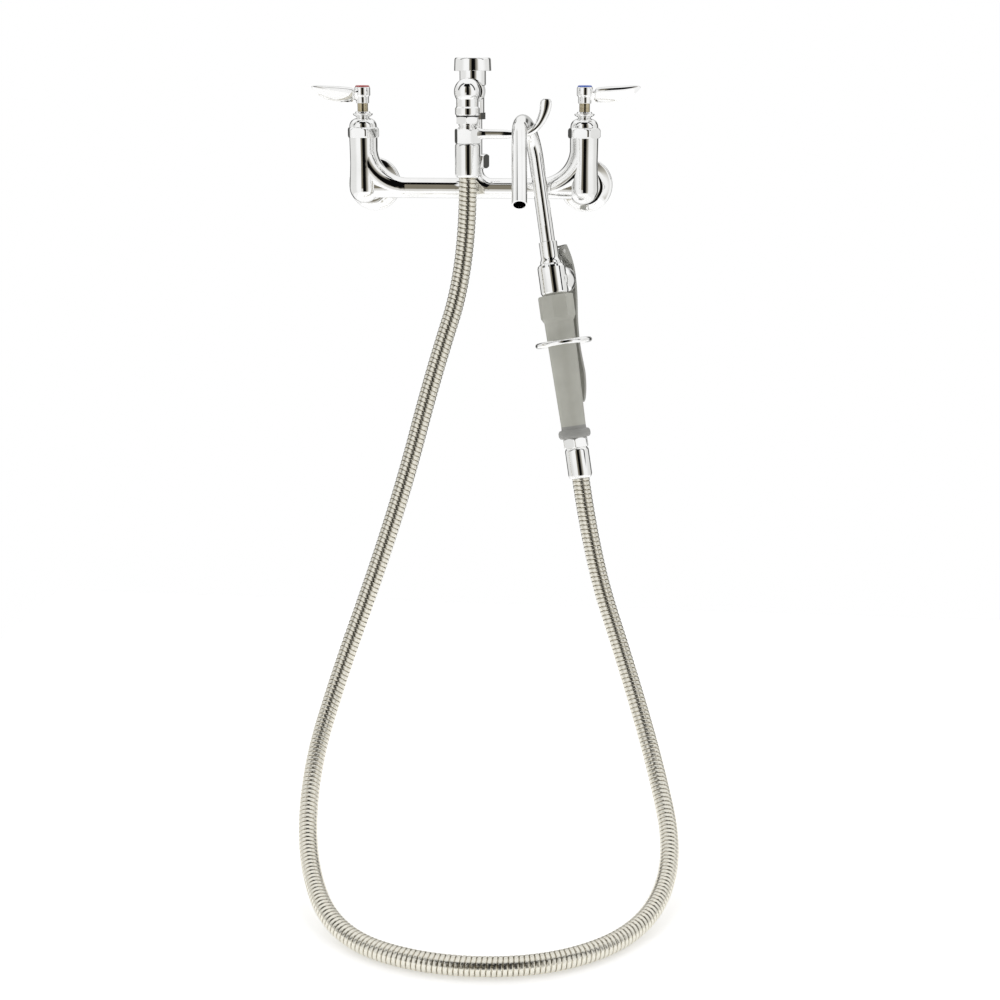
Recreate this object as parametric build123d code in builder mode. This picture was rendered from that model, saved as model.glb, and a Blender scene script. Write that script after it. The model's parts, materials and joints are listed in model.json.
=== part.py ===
"""Wall-mounted pre-rinse faucet with a hose and a hand-held spray valve.

Millimetres. X runs from the hot valve to the cold valve, Y points into the wall
and Z is up. The origin lies on the wall, midway between the two water inlets.
"""

from build123d import *
import math
import os

# ---------------------------------------------------------------- driving sizes
INLET_SPACING = 203.2          # eight-inch centres of the two wall inlets
WALL_TO_AXIS = 57.0            # wall to the valve axes and the cross tube
FRONT_REACH = 42.0             # riser axis to the outlet column
RIM = 0.8                      # small edge break on machined pieces
THREAD_GAP = 0.1               # radial room left in an unmodelled thread
BODY_GAP = 0.3                 # room between faces of pieces that move apart
RUNNING_FIT = 0.05             # radial clearance of a shaft in its hole

# Wall inlets, measured from the wall towards the user
FLANGE_R = 25.0
FLANGE_THICK = 4.0
FLANGE_DOME = 9.0
FLANGE_NECK_R = 14.5
FLANGE_NECK_END = 21.0
PIPE_THREAD_R = 9.3            # half-inch pipe thread, bore of the female end
PIPE_THREAD_DEPTH = 16.0
WATERWAY_R = 7.0
INLET_WASHER_END = 23.0
TAIL_LIP_END = 26.0
TAIL_LIP_R = 13.6
SHANK_R = 11.3
COUPLING_START = 12.0
COUPLING_END = 31.0
COUPLING_AF = 33.0
COUPLING_LIP = 4.7

# Cast body
TUBE_R = 9.1
TUBE_BORE_R = 6.3
BARREL_R = 13.0
BARREL_FOOT_R = 13.8
BARREL_TOP = 45.3
BARREL_BORE_R = 9.6
BARREL_BORE_FLOOR = 12.0
VALVE_SWEEP_R = 39.0           # bend of the casting from cross tube to barrel
BOSS_R = 9.2
BOSS_TOP = 18.0
BOSS_SWEEP_R = 17.0
STUB_R = 9.6
STUB_TOP = 24.0

# Quarter-turn valves
CARTRIDGE_R = 9.5
FIXED_DISC_TOP = 15.0
MOVING_DISC_BOTTOM = 15.1
MOVING_DISC_TOP = 18.4
MOVING_DISC_R = 6.6
CARTRIDGE_BOTTOM = 12.0
CARTRIDGE_TOP = 45.0
CARTRIDGE_CHAMBER_TOP = 24.0
CARTRIDGE_CHAMBER_R = 7.0
STEM_R = 4.8
STEM_SHOULDER = 75.8
STEM_TOP = 86.0
SPLINE_R = 4.0
BONNET_AF = 27.0
BONNET_ROUND_R = 15.2
BONNET_BAND_TOP = 54.2
BONNET_DOME_R = 12.4
BONNET_TOP = 62.6
PACKING_TOP = 68.5
PACKING_R = 8.9
PACKING_BOTTOM = 63.8
HUB_R = 6.9
HUB_NECK_R = 5.7
HUB_STEP = 82.5
HUB_TOP = 90.3
BUTTON_R = 6.5
BUTTON_THICK = 1.4
BUTTON_PLUG_R = 4.9
POCKET_FLOOR = 86.2
SCREW_R = 2.3
SCREW_HEAD_R = 4.2
SCREW_HEAD_TOP = 89.0
SCREW_TIP = 70.0
LEVER_REACH = 49.8
LEVER_WIDTH = 8.5
HOT_LEVER_TURN = 35.0          # the hot lever rests a little towards the user

# Riser and vacuum breaker
RISER_NUT_AF = 26.0
RISER_NUT_BOTTOM = 18.3
RISER_NUT_TOP = 30.8
RISER_NUT_BORE_R = 9.7
RISER_LIP_BOTTOM = 28.2
RISER_R = 8.55
RISER_BORE_R = 6.4
RISER_COLLAR_R = 9.5
GASKET_TOP = 26.0
RISER_TOP = 70.0
BREAKER_HEX_AF = 20.0
BREAKER_HEX_BOTTOM = 61.8
BREAKER_HEX_TOP = 67.7
BREAKER_R = 10.5
BREAKER_NECK_BOTTOM = 91.7
BREAKER_NECK_R = 12.0
BREAKER_NECK_TOP = 111.0
SPIDER_BOTTOM = 86.0
SPIDER_TOP = 89.0
FLOAT_CHAMBER_R = 8.2
FLOAT_R = 7.7
FLOAT_STEM_R = 2.0
FLOAT_THICK = 3.0
AIR_SEAT_BOTTOM = 97.5
AIR_SEAT_TOP = 100.5
CAP_BOTTOM = 104.3
CAP_TOP = 115.8
CAP_R_TOP = 16.4
CAP_R_BOTTOM = 16.9

# Outlet column
OUTLET_Z = 86.4
OUTLET_SOCKET_R = 11.6
OUTLET_SOCKET_END = 17.0       # measured from the riser axis
ELBOW_LEG_R = 9.7
ELBOW_BALL_R = 11.8
ELBOW_LEG_BOTTOM = 73.7
ELBOW_BEAD_R = 11.0
ELBOW_BOTTOM = 65.8
ADAPTER_HEX_AF = 18.5
ADAPTER_HEX_BOTTOM = 59.1
ADAPTER_HEX_TOP = 65.0
ADAPTER_PLUG_R = 7.5
ADAPTER_PLUG_TOP = 72.0
ADAPTER_BORE_R = 4.8
ADAPTER_GROOVE = 0.8
ADAPTER_SEAL_R = 10.1
ADAPTER_NECK_R = 8.0
HUB_PLATE_TOP = 54.6
HUB_PLATE_BOTTOM = 41.9
HUB_PLATE_AF = 21.0
ADAPTER_TAIL_R = 6.9
ADAPTER_BOTTOM = 34.0
HOSE_WASHER_BOTTOM = 40.3
HOSE_WASHER_R = 9.2
FERRULE_LIP_TOP = 41.8
FERRULE_R = 11.3
FERRULE_BOTTOM = 12.5

# Hook for the nozzle
ARM_R = 3.175
ARM_Z = 50.1
HORN_BEND_X = 50.0
HORN_BEND_R = 21.0
HORN_TIP_Z = 79.0

# Hose
HOSE_R = 8.0
HOSE_RADIUS_SHARE = 0.45       # of the shorter run at each corner of the route

# Spray valve, laid out along its own axis: stations run down from the top of the
# straight tube, and reaches run out from the axis towards the squeeze lever.
HANDLE_TOP = (59.2, -71.3, 26.9)
HANDLE_DOWN = (0.1607, -0.1883, -0.9689)
NOZZLE_SIDE = (-0.162, -0.973, 0.162)
LEVER_SIDE_TURN = 30.0         # squeeze lever: from straight back, towards +X
NOZZLE_TUBE_R = 6.7
NOZZLE_BORE_R = 5.3
NOZZLE_BEND_R = 29.3
NOZZLE_BEND_DEG = 150.7
NOZZLE_LEG = 72.8
NOZZLE_TUBE_END_S = 88.0
COUPLING_TOP_S = 74.7
COUPLING_R = 8.3
COUPLING_SHOULDER_S = 90.5
COUPLING_TAIL_R = 6.6
COUPLING_TAIL_END_S = 101.0
VALVE_TOP_S = 94.5
VALVE_BOTTOM_S = 123.4
VALVE_R = 12.8
GRIP_TUBE_R = 8.0
GRIP_TUBE_BORE_R = 5.5
GRIP_TUBE_TOP_S = 118.0
COLLAR_BOTTOM_S = 146.5
COLLAR_AF = 31.0
SLEEVE_BOTTOM_S = 243.1
SLEEVE_TOP_R = 12.9
SLEEVE_BOTTOM_R = 11.3
BEAD_TOP_S = 246.4
BEAD_BOTTOM_S = 254.4
BEAD_R = 14.7
SWIVEL_BOTTOM_S = 263.2
SWIVEL_AF = 21.5
SWIVEL_TAIL_END_S = 270.0
LOWER_FERRULE_BOTTOM_S = 291.5
LOWER_FERRULE_R = 11.0
FERRULE_BORE_R = 5.0

# Stem and poppet of the spray valve, as reaches along the stem
STEM_S = 110.0
BOSS_OUTER_R = 13.0
BOSS_REACH = 17.0
CHAMBER_R = 6.4
CHAMBER_BACK = -8.8
SEAT_BACK = -2.0
SEAT_FRONT = 1.0
SEAT_R = 7.4
SEAT_HOLE_R = 4.2
STEM_BONNET_START = 11.0
STEM_BONNET_END = 21.8
STEM_BONNET_R = 12.0
POPPET_STEM_R = 3.0
POPPET_DISC_R = 5.5
POPPET_BACK = -7.0
POPPET_FACE = -4.2
POPPET_COLLAR_START = 9.6
POPPET_COLLAR_END = 10.7
POPPET_REACH = 25.0
SPRING_R = 4.7
SPRING_WIRE_R = 0.45
SPRING_START = 1.5
SPRING_END = 8.0
SPRING_TURNS = 5

# Squeeze lever and hold-down ring
PIVOT_S = 84.0
PIVOT_REACH = 15.0
PIVOT_R = 2.0
PIVOT_HALF_LENGTH = 6.6
LUG_HALF_WIDTH = 2.6
EAR_INNER = 3.0
LEVER_HALF_WIDTH = 6.0
SQUEEZE_THICK = 3.0
SQUEEZE_OUTER = [
    (21.0, 78.0), (25.0, 86.0), (28.8, 101.0), (28.6, 113.0), (26.0, 131.0), (24.0, 140.0),
    (21.6, 156.0), (20.6, 171.0), (22.0, 188.0), (23.3, 202.0), (22.6, 213.0), (19.6, 223.0),
]
RING_S = 166.9
RING_WIRE_R = 2.4
RING_MEAN_R = 23.8
RING_SIDE_SHIFT = 3.0

# Corners of the hose's route, from the upper ferrule round to the spray valve
HOSE_ROUTE = [
    (0.0, -99.0, 12.5),
    (0.0, -99.0, -64.5),
    (-30.0, -124.0, -163.0),
    (-53.0, -147.0, -256.0),
    (-78.0, -175.0, -339.0),
    (-106.0, -205.0, -421.0),
    (-123.0, -264.0, -490.0),
    (-112.0, -342.0, -540.0),
    (-72.0, -421.0, -560.0),
    (9.0, -457.0, -560.0),
    (106.0, -447.0, -560.0),
    (175.0, -388.0, -560.0),
    (199.0, -305.0, -541.0),
    (180.0, -227.0, -489.0),
    (152.0, -176.0, -417.0),
    (118.4, -140.5, -329.4),
    (106.08, -126.24, -255.82),
]

VALVES = (("hot", -1.0, HOT_LEVER_TURN), ("cold", 1.0, 0.0))
AXIS_Y = -WALL_TO_AXIS
COLUMN_Y = AXIS_Y - FRONT_REACH

os.makedirs("parts", exist_ok=True)
made = []


def keep(node, label):
    """Label a finished piece and write it as its own STEP file."""
    node.part.label = label
    export_step(node.part, f"parts/{label}.step")
    made.append((label, node.part.volume))


def upright(x, y):
    """Vertical half-plane through (x, y): sketch X is radius, sketch Y is height."""
    return Plane(origin=(x, y, 0), x_dir=(1, 0, 0), z_dir=(0, -1, 0))


def wallward(x):
    """Half-plane through an inlet: sketch X is radius, sketch Y is distance from the wall."""
    return Plane(origin=(x, 0, 0), x_dir=(1, 0, 0), z_dir=(0, 0, -1))


def ring_profile(points):
    """Closed polygon of (radius, height) corners in the sketch that is open."""
    Polygon(*points, align=None)


# ------------------------------------------------------------------ wall inlets
for side, sign, _ in VALVES:
    x = sign * INLET_SPACING / 2
    inlet_axis = Axis((x, 0, 0), (0, -1, 0))

    with BuildPart() as inlet_flange:
        with BuildSketch(wallward(x)):
            ring_profile([
                (PIPE_THREAD_R, 0), (FLANGE_R - RIM, 0), (FLANGE_R, RIM),
                (FLANGE_R, FLANGE_THICK - 2), (FLANGE_R - 2.2, FLANGE_THICK),
                (FLANGE_NECK_R + 3.5, FLANGE_DOME - 1), (FLANGE_NECK_R + 1.5, FLANGE_DOME),
                (FLANGE_NECK_R, FLANGE_DOME + 1), (FLANGE_NECK_R, FLANGE_NECK_END),
                (WATERWAY_R, FLANGE_NECK_END), (WATERWAY_R, PIPE_THREAD_DEPTH),
                (PIPE_THREAD_R, PIPE_THREAD_DEPTH),
            ])
        revolve(axis=inlet_axis)
    keep(inlet_flange, f"{side}_inlet_flange")

    with BuildPart() as inlet_washer:
        with BuildSketch(Plane.XZ.offset(FLANGE_NECK_END)):
            with Locations((x, 0)):
                Circle(TAIL_LIP_R - 1)
                Circle(WATERWAY_R, mode=Mode.SUBTRACT)
        extrude(amount=INLET_WASHER_END - FLANGE_NECK_END)
    keep(inlet_washer, f"{side}_inlet_washer")

    with BuildPart() as coupling_nut:
        with BuildSketch(Plane.XZ.offset(COUPLING_START)):
            with Locations((x, 0)):
                RegularPolygon(COUPLING_AF / 2, 6, major_radius=False)
        extrude(amount=COUPLING_END - COUPLING_START)
        with BuildSketch(Plane.XZ.offset(COUPLING_START)):
            with Locations((x, 0)):
                Circle(FLANGE_NECK_R + THREAD_GAP)
        extrude(amount=COUPLING_END - COUPLING_LIP - COUPLING_START, mode=Mode.SUBTRACT)
        with BuildSketch(Plane.XZ.offset(COUPLING_START)):
            with Locations((x, 0)):
                Circle(SHANK_R + BODY_GAP)
        extrude(amount=COUPLING_END - COUPLING_START, mode=Mode.SUBTRACT)
        with BuildSketch(wallward(x)):
            ring_profile([
                (0, COUPLING_START), (COUPLING_AF / 2 + 0.6, COUPLING_START),
                (COUPLING_AF / 2 + 2.6, COUPLING_START + 2),
                (COUPLING_AF / 2 + 2.6, COUPLING_END - 2),
                (COUPLING_AF / 2 + 0.6, COUPLING_END), (0, COUPLING_END),
            ])
        revolve(axis=inlet_axis, mode=Mode.INTERSECT)
    keep(coupling_nut, f"{side}_coupling_nut")

# -------------------------------------------------------------------- cast body
half = INLET_SPACING / 2
SWEEP_STEPS = 4


def casting_bend(centre_x, bend_r, from_deg, to_deg, r_end):
    """Solid loft of circles round a bend in the XZ plane, from the cross tube upwards."""
    circles = []
    for step in range(SWEEP_STEPS + 1):
        share = step / SWEEP_STEPS
        angle = math.radians(from_deg + (to_deg - from_deg) * share)
        point = (centre_x + bend_r * math.cos(angle), AXIS_Y, bend_r + bend_r * math.sin(angle))
        along = (-math.sin(angle), 0, math.cos(angle))
        plane = Plane(origin=point, x_dir=(0, 1, 0), z_dir=along)
        circles.append(plane * Circle(TUBE_R + (r_end - TUBE_R) * share))
    return loft(circles)


castings = [
    casting_bend(half - VALVE_SWEEP_R, VALVE_SWEEP_R, -90.0, 0.0, BARREL_R - 0.2),
    casting_bend(VALVE_SWEEP_R - half, VALVE_SWEEP_R, -90.0, -180.0, BARREL_R - 0.2),
    casting_bend(BOSS_SWEEP_R, BOSS_SWEEP_R, -90.0, -180.0, BOSS_R),
    casting_bend(-BOSS_SWEEP_R, BOSS_SWEEP_R, -90.0, 0.0, BOSS_R),
]

with BuildPart() as faucet_body:
    with BuildSketch(Plane.YZ.offset(-half)):
        with Locations((AXIS_Y, 0)):
            Circle(TUBE_R)
    extrude(amount=INLET_SPACING)
    for sign in (-1.0, 1.0):
        with BuildSketch(upright(sign * half, AXIS_Y)):
            with BuildLine():
                Line((0, BARREL_TOP), (BARREL_R, BARREL_TOP))
                Line((BARREL_R, BARREL_TOP), (BARREL_R - 0.3, 22.0))
                Line((BARREL_R - 0.3, 22.0), (BARREL_FOOT_R, 0))
                RadiusArc((BARREL_FOOT_R, 0), (0, -BARREL_FOOT_R), BARREL_FOOT_R)
                Line((0, -BARREL_FOOT_R), (0, BARREL_TOP))
            make_face()
        revolve(axis=Axis((sign * half, AXIS_Y, 0), (0, 0, 1)))
        with BuildSketch(Plane.XZ.offset(INLET_WASHER_END)):
            with Locations((sign * half, 0)):
                Circle(TAIL_LIP_R)
        extrude(amount=TAIL_LIP_END - INLET_WASHER_END)
        with BuildSketch(Plane.XZ.offset(TAIL_LIP_END)):
            with Locations((sign * half, 0)):
                Circle(SHANK_R)
        extrude(amount=WALL_TO_AXIS - TAIL_LIP_END)
    with BuildSketch(Plane.XY):
        with Locations((0, AXIS_Y)):
            Circle(BOSS_R)
    extrude(amount=BOSS_TOP)
    with BuildSketch(Plane.XY.offset(BOSS_TOP)):
        with Locations((0, AXIS_Y)):
            Circle(STUB_R)
    extrude(amount=STUB_TOP - BOSS_TOP)

    for casting in castings:
        add(casting)
    with BuildSketch(Plane.YZ.offset(-half)):
        with Locations((AXIS_Y, 0)):
            Circle(TUBE_BORE_R)
    extrude(amount=INLET_SPACING, mode=Mode.SUBTRACT)
    for sign in (-1.0, 1.0):
        with BuildSketch(Plane.XY.offset(BARREL_BORE_FLOOR)):
            with Locations((sign * half, AXIS_Y)):
                Circle(BARREL_BORE_R)
        extrude(amount=BARREL_TOP - BARREL_BORE_FLOOR, mode=Mode.SUBTRACT)
        with BuildSketch(Plane.XY):
            with Locations((sign * half, AXIS_Y)):
                Circle(5.5)
        extrude(amount=BARREL_BORE_FLOOR, mode=Mode.SUBTRACT)
        with BuildSketch(Plane.XZ.offset(INLET_WASHER_END)):
            with Locations((sign * half, 0)):
                Circle(WATERWAY_R)
        extrude(amount=WALL_TO_AXIS - INLET_WASHER_END, mode=Mode.SUBTRACT)
    with BuildSketch(Plane.XY):
        with Locations((0, AXIS_Y)):
            Circle(RISER_BORE_R)
    extrude(amount=STUB_TOP, mode=Mode.SUBTRACT)
keep(faucet_body, "faucet_body")

# ---------------------------------------------------------- quarter-turn valves
for side, sign, turn in VALVES:
    x = sign * half
    stem_axis = Axis((x, AXIS_Y, 0), (0, 0, 1))

    with BuildPart() as fixed_disc:
        with BuildSketch(Plane.XY.offset(CARTRIDGE_BOTTOM)):
            with Locations((x, AXIS_Y)):
                Circle(CARTRIDGE_CHAMBER_R)
            with Locations((x, AXIS_Y + 3.6), (x, AXIS_Y - 3.6)):
                Circle(2.2, mode=Mode.SUBTRACT)
        extrude(amount=FIXED_DISC_TOP - CARTRIDGE_BOTTOM)
    keep(fixed_disc, f"{side}_fixed_disc")

    with BuildPart() as moving_disc:
        with BuildSketch(Plane.XY.offset(MOVING_DISC_BOTTOM)):
            with Locations((x, AXIS_Y)):
                Circle(MOVING_DISC_R)
            with Locations((x, AXIS_Y)):
                Rectangle(2.4, 11.0, mode=Mode.SUBTRACT)
        extrude(amount=MOVING_DISC_TOP - MOVING_DISC_BOTTOM)
    keep(moving_disc, f"{side}_moving_disc")

    with BuildPart() as cartridge:
        with BuildSketch(upright(x, AXIS_Y)):
            ring_profile([
                (CARTRIDGE_CHAMBER_R + RUNNING_FIT, CARTRIDGE_BOTTOM),
                (CARTRIDGE_R, CARTRIDGE_BOTTOM), (CARTRIDGE_R, CARTRIDGE_TOP),
                (STEM_R + RUNNING_FIT, CARTRIDGE_TOP),
                (STEM_R + RUNNING_FIT, CARTRIDGE_CHAMBER_TOP),
                (CARTRIDGE_CHAMBER_R + RUNNING_FIT, CARTRIDGE_CHAMBER_TOP),
            ])
        revolve(axis=stem_axis)
        with BuildSketch(Plane.YZ.offset(x - CARTRIDGE_R)):
            with Locations((AXIS_Y, MOVING_DISC_TOP + 2)):
                Circle(1.8)
        extrude(amount=2 * CARTRIDGE_R, mode=Mode.SUBTRACT)
    keep(cartridge, f"{side}_cartridge")

    with BuildPart() as stem:
        with BuildSketch(upright(x, AXIS_Y)):
            ring_profile([
                (0, MOVING_DISC_TOP), (MOVING_DISC_R, MOVING_DISC_TOP),
                (MOVING_DISC_R, CARTRIDGE_CHAMBER_TOP - BODY_GAP),
                (STEM_R, CARTRIDGE_CHAMBER_TOP - BODY_GAP), (STEM_R, STEM_SHOULDER),
                (SPLINE_R, STEM_SHOULDER), (SPLINE_R, STEM_TOP), (SCREW_R, STEM_TOP),
                (SCREW_R, SCREW_TIP), (0, SCREW_TIP),
            ])
        revolve(axis=stem_axis)
    keep(stem, f"{side}_stem")

    with BuildPart() as bonnet:
        with BuildSketch(Plane.XY.offset(BARREL_TOP)):
            with Locations((x, AXIS_Y)):
                RegularPolygon(BONNET_AF / 2, 6, major_radius=False)
        extrude(amount=BONNET_BAND_TOP - BARREL_TOP)
        with BuildSketch(upright(x, AXIS_Y)):
            ring_profile([
                (0, BARREL_TOP), (BONNET_ROUND_R - 1.4, BARREL_TOP),
                (BONNET_ROUND_R, BARREL_TOP + 1.6), (BONNET_ROUND_R, BONNET_BAND_TOP - 2.2),
                (BONNET_DOME_R + 0.4, BONNET_BAND_TOP), (0, BONNET_BAND_TOP),
            ])
        revolve(axis=stem_axis, mode=Mode.INTERSECT)
        with BuildSketch(upright(x, AXIS_Y)):
            with BuildLine():
                Line((0, BONNET_BAND_TOP), (BONNET_DOME_R, BONNET_BAND_TOP))
                RadiusArc((BONNET_DOME_R, BONNET_BAND_TOP), (6.6, BONNET_TOP), -9.5)
                Line((6.6, BONNET_TOP), (5.4, BONNET_TOP))
                Line((5.4, BONNET_TOP), (5.4, PACKING_BOTTOM))
                Line((5.4, PACKING_BOTTOM), (0, PACKING_BOTTOM))
                Line((0, PACKING_BOTTOM), (0, BONNET_BAND_TOP))
            make_face()
        revolve(axis=stem_axis)
        with BuildSketch(Plane.XY.offset(BARREL_TOP)):
            with Locations((x, AXIS_Y)):
                Circle(STEM_R + RUNNING_FIT)
        extrude(amount=PACKING_BOTTOM - BARREL_TOP, mode=Mode.SUBTRACT)
    keep(bonnet, f"{side}_bonnet")

    with BuildPart() as packing_nut:
        with BuildSketch(upright(x, AXIS_Y)):
            ring_profile([
                (STEM_R + RUNNING_FIT, PACKING_BOTTOM), (6.8, PACKING_BOTTOM),
                (PACKING_R, PACKING_BOTTOM + 2.0), (PACKING_R, PACKING_TOP - 2.0),
                (6.6, PACKING_TOP), (STEM_R + RUNNING_FIT, PACKING_TOP),
            ])
        revolve(axis=stem_axis)
    keep(packing_nut, f"{side}_packing_nut")

    # The lever is drawn pointing along +X from the stem and then turned in place.
    with BuildPart() as blade:
        with BuildSketch(Plane.XZ.offset(WALL_TO_AXIS - LEVER_WIDTH / 2)):
            with BuildLine():
                Line((0, HUB_STEP - 5.0), (8.0, HUB_STEP - 5.6))
                Spline((8.0, HUB_STEP - 5.6), (24.0, 77.6), (37.0, 80.0), (46.5, 85.4),
                       tangents=((1, -0.35), (0.7, 0.75)))
                Spline((46.5, 85.4), (LEVER_REACH, 90.1), (LEVER_REACH - 1.4, 91.2),
                       tangents=((0.7, 0.75), (-1, 0)))
                Spline((LEVER_REACH - 1.4, 91.2), (28.0, 90.6), (7.0, 89.4), (0, 89.2))
                Line((0, 89.2), (0, HUB_STEP - 5.0))
            make_face()
        extrude(amount=LEVER_WIDTH)
        with BuildSketch(Plane.XY.offset(HUB_STEP - 10)):
            with BuildLine():
                Line((0, AXIS_Y - 4.0), (9.0, AXIS_Y - 3.6))
                Spline((9.0, AXIS_Y - 3.6), (30.0, AXIS_Y - 3.2), (LEVER_REACH, AXIS_Y - 1.3))
                Line((LEVER_REACH, AXIS_Y - 1.3), (LEVER_REACH, AXIS_Y + 1.3))
                Spline((LEVER_REACH, AXIS_Y + 1.3), (30.0, AXIS_Y + 3.2), (9.0, AXIS_Y + 3.6))
                Line((9.0, AXIS_Y + 3.6), (0, AXIS_Y + 4.0))
                Line((0, AXIS_Y + 4.0), (0, AXIS_Y - 4.0))
            make_face()
        extrude(amount=25, mode=Mode.INTERSECT)
    heading = turn if sign > 0 else 180.0 + turn
    placed_blade = blade.part.moved(Location((0, -AXIS_Y, 0)))
    placed_blade = placed_blade.rotate(Axis.Z, heading)
    placed_blade = placed_blade.moved(Location((x, AXIS_Y, 0)))

    with BuildPart() as lever:
        with BuildSketch(upright(x, AXIS_Y)):
            ring_profile([
                (0, STEM_SHOULDER), (HUB_NECK_R, STEM_SHOULDER), (HUB_NECK_R, HUB_STEP),
                (HUB_R, HUB_STEP + 1), (HUB_R, HUB_TOP - RIM), (HUB_R - RIM, HUB_TOP),
                (0, HUB_TOP),
            ])
        revolve(axis=stem_axis)
        add(placed_blade)
        with BuildSketch(Plane.XY.offset(STEM_SHOULDER)):
            with Locations((x, AXIS_Y)):
                Circle(SPLINE_R)
        extrude(amount=HUB_TOP - STEM_SHOULDER, mode=Mode.SUBTRACT)
        with BuildSketch(Plane.XY.offset(POCKET_FLOOR)):
            with Locations((x, AXIS_Y)):
                Circle(BUTTON_PLUG_R)
        extrude(amount=HUB_TOP + 3 - POCKET_FLOOR, mode=Mode.SUBTRACT)
    keep(lever, f"{side}_lever")

    with BuildPart() as lever_screw:
        with BuildSketch(upright(x, AXIS_Y)):
            ring_profile([
                (0, SCREW_TIP), (SCREW_R, SCREW_TIP), (SCREW_R, POCKET_FLOOR),
                (SCREW_HEAD_R, POCKET_FLOOR), (SCREW_HEAD_R, SCREW_HEAD_TOP - RIM),
                (SCREW_HEAD_R - RIM, SCREW_HEAD_TOP), (0, SCREW_HEAD_TOP),
            ])
        revolve(axis=stem_axis)
        with BuildSketch(Plane.XY.offset(SCREW_HEAD_TOP - 1.2)):
            with Locations((x, AXIS_Y)):
                Rectangle(5.4, 1.1)
                Rectangle(1.1, 5.4)
        extrude(amount=1.2, mode=Mode.SUBTRACT)
    keep(lever_screw, f"{side}_lever_screw")

    with BuildPart() as index_button:
        with BuildSketch(upright(x, AXIS_Y)):
            ring_profile([
                (0, SCREW_HEAD_TOP), (BUTTON_PLUG_R, SCREW_HEAD_TOP),
                (BUTTON_PLUG_R, HUB_TOP), (BUTTON_R, HUB_TOP), (BUTTON_R, HUB_TOP + 0.8),
                (BUTTON_R - 1.0, HUB_TOP + BUTTON_THICK), (0, HUB_TOP + BUTTON_THICK),
            ])
        revolve(axis=stem_axis)
    keep(index_button, f"{side}_index_button")

# ------------------------------------------------------ riser and vacuum breaker
riser_axis = Axis((0, AXIS_Y, 0), (0, 0, 1))
riser_plane = upright(0, AXIS_Y)

with BuildPart() as riser_gasket:
    with BuildSketch(Plane.XY.offset(STUB_TOP)):
        with Locations((0, AXIS_Y)):
            Circle(RISER_COLLAR_R)
            Circle(RISER_BORE_R, mode=Mode.SUBTRACT)
    extrude(amount=GASKET_TOP - STUB_TOP)
keep(riser_gasket, "riser_gasket")

with BuildPart() as riser_tube:
    with BuildSketch(riser_plane):
        ring_profile([
            (RISER_BORE_R, GASKET_TOP), (RISER_COLLAR_R, GASKET_TOP),
            (RISER_COLLAR_R, RISER_LIP_BOTTOM), (RISER_R, RISER_LIP_BOTTOM),
            (RISER_R, RISER_TOP), (RISER_BORE_R, RISER_TOP),
        ])
    revolve(axis=riser_axis)
keep(riser_tube, "riser_tube")

with BuildPart() as riser_nut:
    with BuildSketch(Plane.XY.offset(RISER_NUT_BOTTOM)):
        with Locations((0, AXIS_Y)):
            RegularPolygon(RISER_NUT_AF / 2, 6, major_radius=False, rotation=15)
    extrude(amount=RISER_NUT_TOP - RISER_NUT_BOTTOM)
    with BuildSketch(riser_plane):
        ring_profile([
            (0, RISER_NUT_BOTTOM), (RISER_NUT_AF / 2, RISER_NUT_BOTTOM),
            (RISER_NUT_AF / 2 + 1.9, RISER_NUT_BOTTOM + 1.6),
            (RISER_NUT_AF / 2 + 1.9, RISER_NUT_TOP - 1.6),
            (RISER_NUT_AF / 2, RISER_NUT_TOP), (0, RISER_NUT_TOP),
        ])
    revolve(axis=riser_axis, mode=Mode.INTERSECT)
    with BuildSketch(riser_plane):
        ring_profile([
            (0, RISER_NUT_BOTTOM), (RISER_NUT_BORE_R, RISER_NUT_BOTTOM),
            (RISER_NUT_BORE_R, RISER_LIP_BOTTOM), (RISER_R + THREAD_GAP, RISER_LIP_BOTTOM),
            (RISER_R + THREAD_GAP, RISER_NUT_TOP), (0, RISER_NUT_TOP),
        ])
    revolve(axis=riser_axis, mode=Mode.SUBTRACT)
keep(riser_nut, "riser_nut")

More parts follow.
